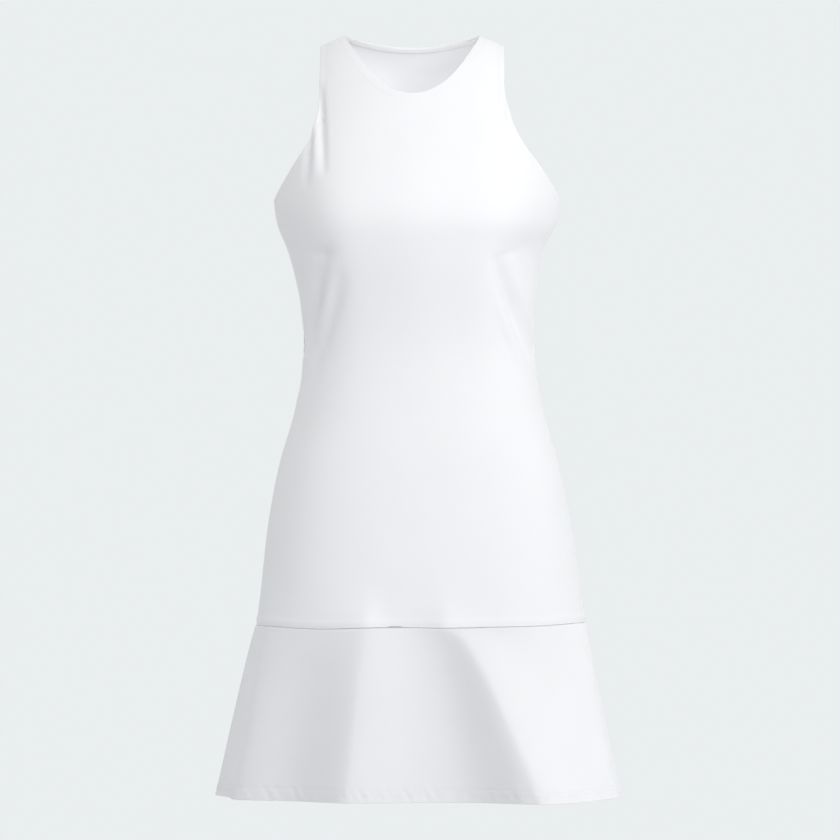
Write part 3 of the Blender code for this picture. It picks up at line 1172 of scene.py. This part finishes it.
@dataclass
class Bodice:
    """The front and back panels of the bodice, from the hip seam to the shoulders."""

    figure: Figure
    seam: HipSeam
    turnings: Turnings
    neck_shape: float = 1.7
    neck_hold: float = 5.0
    corner_hold: float = 14.0
    corner_ease: float = 0.12
    neck_columns: int = 58
    strap_columns: int = 20
    rows_below: int = 160
    rows_above: int = 84
    fine_steps: int = 12
    fineness: float = 0.42
    sheets: dict[Side, Sheet] = field(default_factory=dict)

    def neck(self, cut: PanelCut, share: np.ndarray) -> np.ndarray:
        """Draws half a neckline, from the centre to the shoulder seam.

        Args:
            cut: The panel's cut.
            share: Shares of the way along it.

        Returns:
            (across, up) at each share.
        """
        if cut.scooped:
            over, share = np.zeros_like(share), np.sin(share * math.pi / 2)
        else:
            over = np.clip((share - 1) / cut.over_share + 1, 0, 1)
            share = np.clip(share / (1 - cut.over_share), 0, 1)
        level = -cut.neck_drop * (1 - share**2) ** (self.neck_shape / 2)
        up = np.minimum(self.figure.up_of_level(level), cut.seam_up)
        up = np.where(over > 0, up + (cut.seam_up - up) * over, up)
        across = self.figure.across_of(self.figure.shoulder.neck_half * share, up)
        return np.stack([across, up], axis=-1)

    def arm(self, cut: PanelCut, share: np.ndarray) -> np.ndarray:
        """Draws an armhole, from the underarm to the tip of the shoulder.

        Args:
            cut: The panel's cut.
            share: Shares of the way along it.

        Returns:
            (across, up) at each share.
        """
        points = np.array([(point.from_centre, point.up) for point in cut.armhole])
        lengths = np.linalg.norm(np.diff(points, axis=0), axis=1)
        knots = np.concatenate([[0], np.cumsum(lengths)])
        from_centre = spline(knots, points[:, 0], share * knots[-1])
        up = np.minimum(spline(knots, points[:, 1], share * knots[-1]), cut.seam_up)
        across = self.figure.across_of(from_centre, up)
        return np.stack([np.minimum(across, self.seam.side_edge), up], axis=-1)

    def places(self, cut: PanelCut) -> tuple[np.ndarray, np.ndarray]:
        """Spreads a grid over a panel's cut.

        Args:
            cut: The panel's cut.

        Returns:
            (across, up) of each point of the grid, and the Edge of each vertex of its rim.
        """
        edge, half_gap = self.seam.side_edge, self.seam.gap / 2
        below = graded(self.rows_below, self.fine_steps, 0, self.fineness)
        above = graded(self.rows_above, 0, self.fine_steps, self.fineness)[1:]
        v = np.concatenate([below * cut.underarm, cut.underarm + above * (1 - cut.underarm)])
        neck_u = np.linspace(0, 1, self.neck_columns + 1)
        strap = graded(self.strap_columns, 0, self.fine_steps, self.fineness)[1:]
        u = np.concatenate([neck_u * cut.neck_share, 1 - (1 - strap) * (1 - cut.neck_share)])
        low = self.seam.height_at(self.seam.around(cut.side, u * edge)) + half_gap
        bottom = np.stack([u * edge, low], axis=-1)
        neck = self.neck(cut, neck_u)
        tip = self.arm(cut, np.ones(1))[0]
        top = np.concatenate([neck, neck[-1] + (tip - neck[-1]) * strap[:, None]])
        centre = np.stack([0 * v, bottom[0, 1] + (top[0, 1] - bottom[0, 1]) * v], axis=-1)
        side_up = bottom[-1, 1] + (cut.armhole[0].up - bottom[-1, 1]) * below
        outer = np.concatenate(
            [np.stack([np.full_like(side_up, edge), side_up], axis=-1), self.arm(cut, above)]
        )
        sideways = np.stack([u, u**cut.sweep], axis=-1)[None]
        upwards = v[:, None, None]
        rise = top - (1 - sideways) * top[0] - sideways * top[-1]
        reach = np.exp(-(((u[:, None] - u[None]) / self.corner_ease) ** 2))
        soft = reach / reach.sum(axis=1, keepdims=True) @ rise[0]
        soft = soft - (1 - sideways) * soft[0] - sideways * soft[-1]
        near = upwards**self.corner_hold
        half = (
            (1 - sideways) * centre[:, None]
            + sideways * outer[:, None]
            + (1 - upwards) * (bottom - (1 - sideways) * bottom[0] - sideways * bottom[-1])
            + upwards**self.neck_hold * (near * rise + (1 - near) * soft)
        )
        whole = np.concatenate([half[:, :0:-1] * [-1, 1], half], axis=1)
        around = self.seam.around(cut.side, whole[0, :, 0])
        whole[0, :, 1] = self.seam.height_at(around) + half_gap
        labels = np.full(whole.shape[:2], None, object)
        labels[0] = Edge.HIP
        labels[:, [0, -1]] = np.where(v < cut.underarm, Edge.SIDE, Edge.ARMHOLE)[:, None]
        labels[-1] = Edge.SHOULDER
        open_neck = np.concatenate([u[:0:-1], u]) < cut.neck_share
        labels[-1, open_neck] = Edge.NECK
        labels[0, 0] = Edge.HIP
        return whole, Sheet.rim_of(labels)

    def fold_depth(self, side: Side, x: np.ndarray, z: np.ndarray) -> np.ndarray:
        """Adds up the soft folds of one panel.

        Args:
            side: The panel's side.
            x: How far to the wearer's left each place lies.
            z: How high each place lies.

        Returns:
            How far the folds sink the cloth at each place.
        """
        total = np.zeros_like(x)
        for fold in FOLDS:
            if fold.side is not side:
                continue
            run = np.array([fold.x1 - fold.x0, fold.z1 - fold.z0])
            length = np.hypot(*run)
            run = run / length
            along = ((x - fold.x0) * run[0] + (z - fold.z0) * run[1]) / length
            off = (x - fold.x0) * run[1] - (z - fold.z0) * run[0]
            inside = np.clip(along, 0, 1)
            off = off - fold.bow * 4 * inside * (1 - inside) * np.sign(fold.x0)
            past = (along - inside) * length
            strength = np.exp(-(off**2 + past**2) / fold.half_width**2)
            fading = np.sin(math.pi * (FOLD_FADE + (1 - 2 * FOLD_FADE) * inside))
            total += fold.depth * strength * fading
        return total

    def make(self, cut: PanelCut, finish: bpy.types.Material) -> bpy.types.Object:
        """Makes one panel.

        Args:
            cut: The panel's cut.
            finish: The cloth's material.

        Returns:
            The dressed piece.
        """
        places, labels = self.places(cut)
        across, up = places[..., 0], places[..., 1]
        points = self.figure.point(cut.side, across, up)
        sunk = self.fold_depth(cut.side, points[..., 0], points[..., 2])
        points = points - self.figure.outward(cut.side, across, up) * sunk[..., None]
        around = self.seam.around(cut.side, across)
        above = up - self.seam.height_at(around)
        swell = self.seam.swell(around) * bump(above, 0, self.seam.swell_reach)
        points = points + self.seam.ring(cut.side, across)[2] * swell[..., None]
        if cut.side is Side.BACK:
            points = points[:, ::-1]
        sheet = Sheet(points, labels)
        sheet = sheet.raised(sheet.ridged(BODICE_RIDGES))
        self.sheets[cut.side] = sheet
        obj = self.turnings.turn(sheet, cut.name)
        return dress(obj, finish, [cut.node])


@dataclass
class Flounce:
    """The flared skirt below the hip seam, whose waves follow one rule."""

    figure: Figure
    seam: HipSeam
    turnings: Turnings
    hem_height: float = -0.8345
    flare: float = 1.05
    growth: float = 0.6
    drift: float = 0.5
    columns: int = 216
    rows: int = 84
    fine_side: int = 6
    fine_hem: int = 18
    fine_hip: int = 8
    fineness: float = 0.5
    pucker: float = 0.75 * MM
    pucker_length: float = 11 * MM
    pucker_slant: float = 0.5
    pucker_at: float = 8 * MM
    pucker_seed: int = 20
    sheets: dict[Side, Sheet] = field(default_factory=dict)

    def wave_group(self) -> bpy.types.NodeTree:
        """Builds the group for one wave of the table.

        Returns:
            The group, which puts out the wave's height at an angle and a share of the drop.
        """
        nodes = Nodes(bpy.data.node_groups.new("One wave", "GeometryNodeTree"))
        for name in ("Around", "Drift", "Growth", "Crest"):
            nodes.socket(name, "Float")
        for name in ("At", "Left", "Right", "Rise"):
            nodes.socket(name + " Seam", "Float")
            nodes.socket(name + " Hem", "Float")
        nodes.socket("Height", "Float", out=True)
        given = nodes.add("NodeGroupInput").outputs

        def between(name: str, way: str) -> bpy.types.NodeSocket:
            """A value on its way from its seam socket to its hem socket down the flounce."""
            seam, hem = given[name + " Seam"], given[name + " Hem"]
            return nodes.math("MULTIPLY_ADD", nodes.math("SUBTRACT", hem, seam), given[way], seam)

        around = nodes.math("SUBTRACT", given["Around"], between("At", "Drift"))
        off = nodes.math("WRAP", around, 180.0, -180.0)
        left = nodes.math("LESS_THAN", off, 0.0)
        right_spread = between("Right", "Drift")
        wider = nodes.math("SUBTRACT", between("Left", "Drift"), right_spread)
        spread = nodes.math("MULTIPLY_ADD", wider, left, right_spread)
        share = nodes.math("ABSOLUTE", nodes.math("DIVIDE", off, spread))
        fall = nodes.math("MULTIPLY", nodes.math("POWER", share, given["Crest"]), -1.0)
        height = nodes.math("MULTIPLY", between("Rise", "Growth"), nodes.math("EXPONENT", fall))
        nodes.add("NodeGroupOutput", height)
        return nodes.tree

    def wave_tree(self) -> Nodes:
        """Builds the tree that lifts a plain cone of cloth into the waves of the table.

        Returns:
            The tree's writer.
        """
        nodes = geometry_tree("Flounce waves")
        nodes.socket("Growth", "Float", value=self.growth)
        nodes.socket("Drift", "Float", value=self.drift)
        nodes.socket("Crest", "Float", value=WAVE_CREST)
        nodes.socket("Cloth", "Material")
        given = nodes.add("NodeGroupInput").outputs
        around, drop = (nodes.attribute(name, "FLOAT") for name in ("around", "drop"))
        away = nodes.attribute("away", "FLOAT_VECTOR")
        drifted = nodes.math("POWER", drop, given["Drift"])
        grown = nodes.math("POWER", drop, given["Growth"])
        group = self.wave_group()
        total = None
        for wave in WAVES:
            one = nodes.add("GeometryNodeGroup", node_tree=group)
            rule = (around, drifted, grown, given["Crest"])
            for socket, value in zip(one.inputs, (*rule, *astuple(wave))):
                nodes.put(socket, value)
            height = one.outputs[0]
            total = height if total is None else nodes.math("ADD", total, height)
        lift = nodes.vector("SCALE", away)
        nodes.put(lift.node.inputs["Scale"], total)
        moved = nodes.add("GeometryNodeSetPosition", given["Geometry"], None, None, lift)
        close_tree(nodes, moved.outputs[0], given["Cloth"])
        return nodes

    def cone(self, side: Side) -> bpy.types.Mesh:
        """Makes the plain cone of one half, with where each point is for the waves to read.

        Args:
            side: Which half it is.

        Returns:
            Its mesh, with the attributes that wave_tree() reads.
        """
        edge = self.seam.side_edge
        u = graded(self.columns, self.fine_side, self.fine_side, self.fineness)
        across = (-edge + 2 * edge * u)[None, :] * -side.value
        drop = (1 - graded(self.rows, self.fine_hem, self.fine_hip, self.fineness))[:, None]
        around = self.seam.around(side, across)
        top = self.figure.point(side, across, self.seam.height_at(around) - self.seam.gap / 2)
        ring_x, ring_y, away = self.seam.ring(side, across)
        flared = drop**self.flare
        x = top[..., 0] + (ring_x - top[..., 0]) * flared
        y = top[..., 1] + (ring_y - top[..., 1]) * flared
        z = top[..., 2] + (self.hem_height - top[..., 2]) * drop
        points = np.stack([x, y, z], axis=-1)
        shape = points.shape[:2]
        sheet = Sheet(points, np.empty(0))
        obj = mesh_object(f"cone_{side.name.lower()}", points.reshape(-1, 3), sheet.faces)
        mesh = obj.data
        bpy.data.objects.remove(obj)
        for name, kind, values in (
            ("around", "FLOAT", np.broadcast_to(around, shape)),
            ("drop", "FLOAT", np.broadcast_to(drop, shape)),
            ("away", "FLOAT_VECTOR", np.broadcast_to(away, (*shape, 3))),
        ):
            attribute = mesh.attributes.new(name, kind, "POINT")
            key = "vector" if kind == "FLOAT_VECTOR" else "value"
            attribute.data.foreach_set(key, np.ascontiguousarray(values, np.float32).ravel())
        return mesh

    def puckers(self, sheet: Sheet, seed: int) -> np.ndarray:
        """Puckers the hem, as a row of stitches does.

        Args:
            sheet: One half of the flounce.
            seed: Fixes the puckers' unevenness.

        Returns:
            How far they lift each point of the grid.
        """
        cut = sheet.cut_map()
        slanted = cut[..., 0] + self.pucker_slant * cut[..., 1]
        uneven = ripple(slanted, self.pucker_length, seed)
        beside = bump(sheet.distance(Edge.HEM), self.pucker_at, self.pucker_at)
        return self.pucker * uneven * beside

    def make(
        self, tree: Nodes, side: Side, node: str, finish: bpy.types.Material
    ) -> bpy.types.Object:
        """Makes one half of the flounce.

        Args:
            tree: The tree from wave_tree().
            side: Which half it is.
            node: The solid that it stands for.
            finish: The cloth's material.

        Returns:
            The dressed piece.
        """
        name = f"flounce_{side.name.lower()}"
        values = {"Growth": self.growth, "Drift": self.drift, "Cloth": finish}
        waved = grow(tree, self.cone(side), name + "_waves", values)
        flat = np.empty(len(waved.vertices) * 3, np.float32)
        waved.vertices.foreach_get("co", flat)
        bpy.data.meshes.remove(waved)
        points = flat.astype(float).reshape(self.rows + 1, self.columns + 1, 3)
        labels = np.full(points.shape[:2], Edge.SIDE, object)
        labels[0], labels[-1] = Edge.HEM, Edge.HIP
        sheet = Sheet(points, Sheet.rim_of(labels))
        puckers = self.puckers(sheet, self.pucker_seed + side.value)
        sheet = sheet.raised(puckers + sheet.ridged(FLOUNCE_RIDGES))
        self.sheets[side] = sheet
        return dress(self.turnings.turn(sheet, name), finish, [node])


@dataclass
class NeckTape:
    """The tape that finishes the neck inside, over the turned edge."""

    bodice: Bodice
    near: float = 1.2 * MM
    width: float = 7.4 * MM
    inward: float = 1.35 * MM
    thickness: float = 0.45 * MM
    strands: int = 5

    def make(self, finish: bpy.types.Material) -> bpy.types.Object:
        """Makes the ring of tape.

        Args:
            finish: The tape's material.

        Returns:
            The dressed piece.
        """
        lines = []
        for inset in np.linspace(self.near, self.near + self.width, self.strands + 1):
            halves = []
            for side in Side:
                sheet = self.bodice.sheets[side]
                run = sheet.runs(Edge.NECK)[0]
                halves.append(sheet.beside(run, inset, -self.inward)[0])
            lines.append(np.concatenate(halves))
        rows = np.stack(lines, axis=1)
        count, width = rows.shape[:2]
        index = np.arange(count * width).reshape(count, width)
        after = np.roll(index, -1, axis=0)
        faces = np.stack([index[:, :-1], after[:, :-1], after[:, 1:], index[:, 1:]], axis=-1)
        obj = mesh_object("neck_binding", rows.reshape(-1, 3), faces.reshape(-1, 4)[:, ::-1])
        along = np.linalg.norm(np.diff(rows[:, 0], axis=0, prepend=rows[:1, 0]), axis=1)
        strand = np.linspace(0, self.width, width)
        grid = np.meshgrid(strand, np.cumsum(along))
        write_cut_map(obj.data, np.stack(grid, axis=-1).reshape(-1, 2))
        wall = obj.modifiers.new("Tape", "SOLIDIFY")
        wall.thickness = self.thickness
        wall.offset = 1
        return dress(obj, finish, ["neck_tape"])

    def length(self) -> float:
        """Measures the tape.

        Returns:
            Its length around the neck.
        """
        total = 0.0
        for side in Side:
            sheet = self.bodice.sheets[side]
            points = sheet.beside(sheet.runs(Edge.NECK)[0], self.near, 0)[0]
            total += float(np.linalg.norm(np.diff(points, axis=0), axis=1).sum())
        return total


@dataclass
class Stitching:
    """Rows of small stitches that hold the hem and the turned edges."""

    pitch: float = 2.7 * MM
    length: float = 2.2 * MM
    width: float = 0.45 * MM
    height: float = 0.30 * MM
    lift: float = 0.05 * MM
    trim: int = 2
    hem_rows: tuple[float, ...] = (9 * MM, 14 * MM)
    segments: int = 6
    rings: int = 5
    tree_name: str = "Stitch row"

    def tree(self) -> Nodes:
        """Builds the tree that sets stitches along a line and turns each to face out.

        Returns:
            The tree's writer.
        """
        nodes = geometry_tree(self.tree_name)
        for name, value in (
            ("Pitch", self.pitch),
            ("Length", self.length),
            ("Width", self.width),
            ("Height", self.height),
        ):
            nodes.socket(name, "Float", value=value)
        nodes.socket("Thread", "Material")
        given = nodes.add("NodeGroupInput").outputs
        facing = nodes.attribute("facing", "FLOAT_VECTOR")
        line = nodes.add("GeometryNodeMeshToCurve", given["Geometry"]).outputs[0]
        spaced = nodes.add("GeometryNodeResampleCurve", line, mode="LENGTH")
        nodes.put(spaced.inputs["Length"], given["Pitch"])
        tangent = nodes.add("GeometryNodeInputTangent").outputs[0]
        turned = nodes.add(
            "FunctionNodeAxesToRotation", facing, tangent, primary_axis="Z", secondary_axis="X"
        )
        ball = nodes.add("GeometryNodeMeshUVSphere", self.segments, self.rings, 0.5).outputs[0]
        size = nodes.add(
            "ShaderNodeCombineXYZ", given["Length"], given["Width"], given["Height"]
        ).outputs[0]
        rows = nodes.add("GeometryNodeInstanceOnPoints", spaced.outputs[0], None, ball)
        nodes.put(rows.inputs["Rotation"], turned.outputs[0])
        nodes.put(rows.inputs["Scale"], size)
        close_tree(nodes, rows.outputs[0], given["Thread"])
        return nodes

    def row(self, points: np.ndarray, normals: np.ndarray, name: str) -> bpy.types.Mesh:
        """Makes the line that a row of stitches follows.

        Args:
            points: Its points.
            normals: Which way the stitches face at each.
            name: The mesh's name.

        Returns:
            A mesh of edges alone, with the facings as an attribute.
        """
        mesh = bpy.data.meshes.new(name)
        edges = [(i, i + 1) for i in range(len(points) - 1)]
        mesh.from_pydata(points.tolist(), edges, [])
        facing = mesh.attributes.new("facing", "FLOAT_VECTOR", "POINT")
        facing.data.foreach_set("vector", normals.astype(np.float32).ravel())
        return mesh

    def make(
        self, name: str, lines: list[tuple[np.ndarray, np.ndarray]], finish: bpy.types.Material
    ) -> bpy.types.Object:
        """Sews rows of stitches.

        Args:
            name: The piece's name.
            lines: The points and facings of each row.
            finish: The thread's material.

        Returns:
            One object with all the rows.
        """
        tree = bpy.data.node_groups.get(self.tree_name)
        nodes = Nodes(tree) if tree else self.tree()
        vertices, faces, at = [], [], 0
        for points, normals in lines:
            made = grow(nodes, self.row(points, normals, name), name, {"Thread": finish})
            vertices += [vertex.co[:] for vertex in made.vertices]
            faces += [tuple(at + i for i in face.vertices) for face in made.polygons]
            at = len(vertices)
            bpy.data.meshes.remove(made)
        obj = mesh_object(name, np.array(vertices), np.array(faces, object))
        return dress(obj, finish, [])


@dataclass(frozen=True)
class Lamp:
    """A square soft lamp: its place, its side, its power in watts and its beam in degrees.

    It faces the middle of the dress, unless it has a place of its own to face.
    """

    name: str
    place: Triple
    size: float
    power: float
    faces: Triple | None = None
    beam: float = 180.0


KEY_LAMP = Lamp("key", (3.02, -2.82, 1.55), 1.4, 46.0)
FRONT_LAMP = Lamp("front", (1.17, -4.37, 0.38), 1.4, 23.0)
NECK_LAMP = Lamp("neck", (-0.5, -2.4, -0.3), 1.0, 19.0)
BUST_LAMP = Lamp("bust", (0.15, -0.95, 0.25), 0.5, 1.9, faces=(0.03, -0.13, -0.2))
FLOUNCE_LAMP = Lamp("flounce", (4.53, -0.8, 0.2), 1.4, 15.0)
HEM_LAMP = Lamp("hem", (-1.6, -2.2, -0.5), 0.3, 0.004, faces=(-0.165, -0.1, -0.73), beam=7.0)


@dataclass
class Studio:
    """The camera at the photograph's angle, soft studio light and a pale floor."""

    aim: Triple = (0.0, 0.0, -0.422)
    distance: float = 9.0
    view_width: float = 0.924
    sensor: float = 36.0
    clip_end: float = 100.0
    backdrop: Triple = (0.8228, 0.8550, 0.8632)
    glow_color: Triple = (0.98, 0.99, 1.0)
    front_glow: float = 0.55
    back_glow: float = 0.88
    horizon: float = 0.3
    floor_color: Triple = (0.80, 0.82, 0.83)
    floor_roughness: float = 0.9
    floor_height: float = -0.95
    floor_radius: float = 1.25
    floor_inner: float = 0.6
    floor_corners: int = 96

    def camera(self) -> None:
        """Sets the camera, level with the middle of the dress."""
        data = bpy.data.cameras.new("photo")
        data.sensor_width = self.sensor
        data.lens = self.sensor * self.distance / self.view_width
        data.clip_end = self.clip_end
        obj = bpy.data.objects.new("photo", data)
        obj.location = (self.aim[0], self.aim[1] - self.distance, self.aim[2])
        obj.rotation_euler = (math.pi / 2, 0, 0)
        bpy.context.scene.collection.objects.link(obj)
        bpy.context.scene.camera = obj

    def hang(self, lamp: Lamp, lit: Sequence[bpy.types.Object] = ()) -> None:
        """Hangs a lamp.

        Args:
            lamp: The lamp.
            lit: The only pieces that it lights and that cast shadows from it, or none for all.
        """
        data = bpy.data.lights.new(lamp.name, "AREA")
        data.shape = "SQUARE"
        data.size = lamp.size
        data.energy = lamp.power
        data.spread = math.radians(lamp.beam)
        obj = bpy.data.objects.new(lamp.name, data)
        obj.location = lamp.place
        way = Vector(lamp.faces or self.aim) - obj.location
        obj.rotation_euler = way.to_track_quat("-Z", "Y").to_euler()
        bpy.context.scene.collection.objects.link(obj)
        if lit:
            pieces = bpy.data.collections.new(lamp.name + "_lit")
            for piece in lit:
                pieces.objects.link(piece)
            obj.light_linking.receiver_collection = pieces
            obj.light_linking.blocker_collection = pieces

    def light(self) -> None:
        """Lights the dress from the right and from above, in front of a bright backdrop."""
        self.hang(KEY_LAMP)
        self.hang(FRONT_LAMP)
        world = bpy.data.worlds.new("studio")
        world.use_nodes = True
        nodes = Nodes(world.node_tree)
        world.node_tree.nodes.clear()
        shown = nodes.add("ShaderNodeBackground", (*self.backdrop, 1), 1.0).outputs[0]
        way = nodes.add("ShaderNodeTexCoord").outputs["Generated"]
        ahead = nodes.add("ShaderNodeSeparateXYZ", way).outputs["Y"]
        behind = nodes.add(
            "ShaderNodeMapRange",
            ahead,
            -self.horizon,
            self.horizon,
            self.front_glow,
            self.back_glow,
            interpolation_type="SMOOTHSTEP",
        ).outputs[0]
        soft = nodes.add("ShaderNodeBackground", (*self.glow_color, 1), behind).outputs[0]
        seen = nodes.add("ShaderNodeLightPath").outputs["Is Camera Ray"]
        mixed = nodes.add("ShaderNodeMixShader", seen, soft, shown).outputs[0]
        nodes.add("ShaderNodeOutputWorld", mixed)
        bpy.context.scene.world = world
        bpy.context.scene.view_settings.view_transform = "Standard"

    def floor(self) -> None:
        """Lays the pale floor, below the photograph's view."""
        corners = np.arange(self.floor_corners)
        turns = corners * WHOLE_TURN / self.floor_corners
        circle = np.stack([np.cos(turns), np.sin(turns), 0 * turns], axis=-1)
        rings = np.concatenate([circle * self.floor_inner, circle]) * self.floor_radius
        after = np.roll(corners, -1)
        outside = [corners, corners + self.floor_corners, after + self.floor_corners, after]
        mesh = bpy.data.meshes.new("floor")
        vertices = (rings + [0, 0, self.floor_height]).tolist()
        mesh.from_pydata(vertices, [], [corners.tolist(), *np.stack(outside, -1).tolist()])
        obj = bpy.data.objects.new("floor", mesh)
        bpy.context.scene.collection.objects.link(obj)
        material = bpy.data.materials.new("pale_floor")
        material.use_nodes = True
        shader = material.node_tree.nodes["Principled BSDF"]
        shader.inputs["Base Color"].default_value = (*self.floor_color, 1)
        shader.inputs["Roughness"].default_value = self.floor_roughness
        mesh.materials.append(material)


def dress(
    obj: bpy.types.Object, finish: bpy.types.Material, nodes: list[str]
) -> bpy.types.Object:
    """Gives a piece its finish and its place in the frame.

    Args:
        obj: The piece.
        finish: Its material.
        nodes: The solids that the piece stands for.

    Returns:
        The same piece.
    """
    obj.data.materials.clear()
    obj.data.materials.append(finish)
    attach(obj, BODY)
    if nodes:
        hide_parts(*nodes)
    log.info("%s: %d vertices", obj.name, len(obj.data.vertices))
    return obj


def main() -> None:
    """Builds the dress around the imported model."""
    logging.basicConfig(level=logging.INFO, format="%(name)s: %(message)s")
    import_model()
    finishes = Wardrobe.open()
    studio = Studio()
    studio.camera()
    studio.light()
    studio.floor()
    figure, seam, turnings = Figure(), HipSeam(), Turnings()
    stitching = Stitching()

    bodice = Bodice(figure, seam, turnings)
    panels = {cut.side: bodice.make(cut, finishes.knit) for cut in (FRONT_CUT, BACK_CUT)}
    tape = NeckTape(bodice)
    ring = tape.make(finishes.tape)
    log.info("%s: %.3f m long", ring.name, tape.length())

    flounce = Flounce(figure, seam, turnings)
    waves = flounce.wave_tree()
    skirts = {
        side: flounce.make(waves, side, f"{side.name.lower()}_flounce", finishes.knit)
        for side in Side
    }
    studio.hang(NECK_LAMP, [panels[Side.BACK], ring])
    studio.hang(BUST_LAMP, [panels[Side.FRONT]])
    studio.hang(FLOUNCE_LAMP, list(skirts.values()))
    studio.hang(HEM_LAMP, [skirts[Side.FRONT]])
    for side in Side:
        name = side.name.lower()
        sheet = bodice.sheets[side]
        inset = turnings.widths[Edge.NECK]
        rows = [
            sheet.beside(run[stitching.trim : -stitching.trim], inset, stitching.lift)
            for edge in (Edge.NECK, Edge.ARMHOLE)
            for run in sheet.runs(edge)
        ]
        sewn = stitching.make(f"edge_stitches_{name}", rows, finishes.thread)
        sheet = flounce.sheets[side]
        hem = sheet.runs(Edge.HEM)[0]
        rows = [sheet.beside(hem[1:], inset, stitching.lift) for inset in stitching.hem_rows]
        sewn = stitching.make(f"hem_stitches_{name}", rows, finishes.thread)


if __name__ == "__main__":
    main()
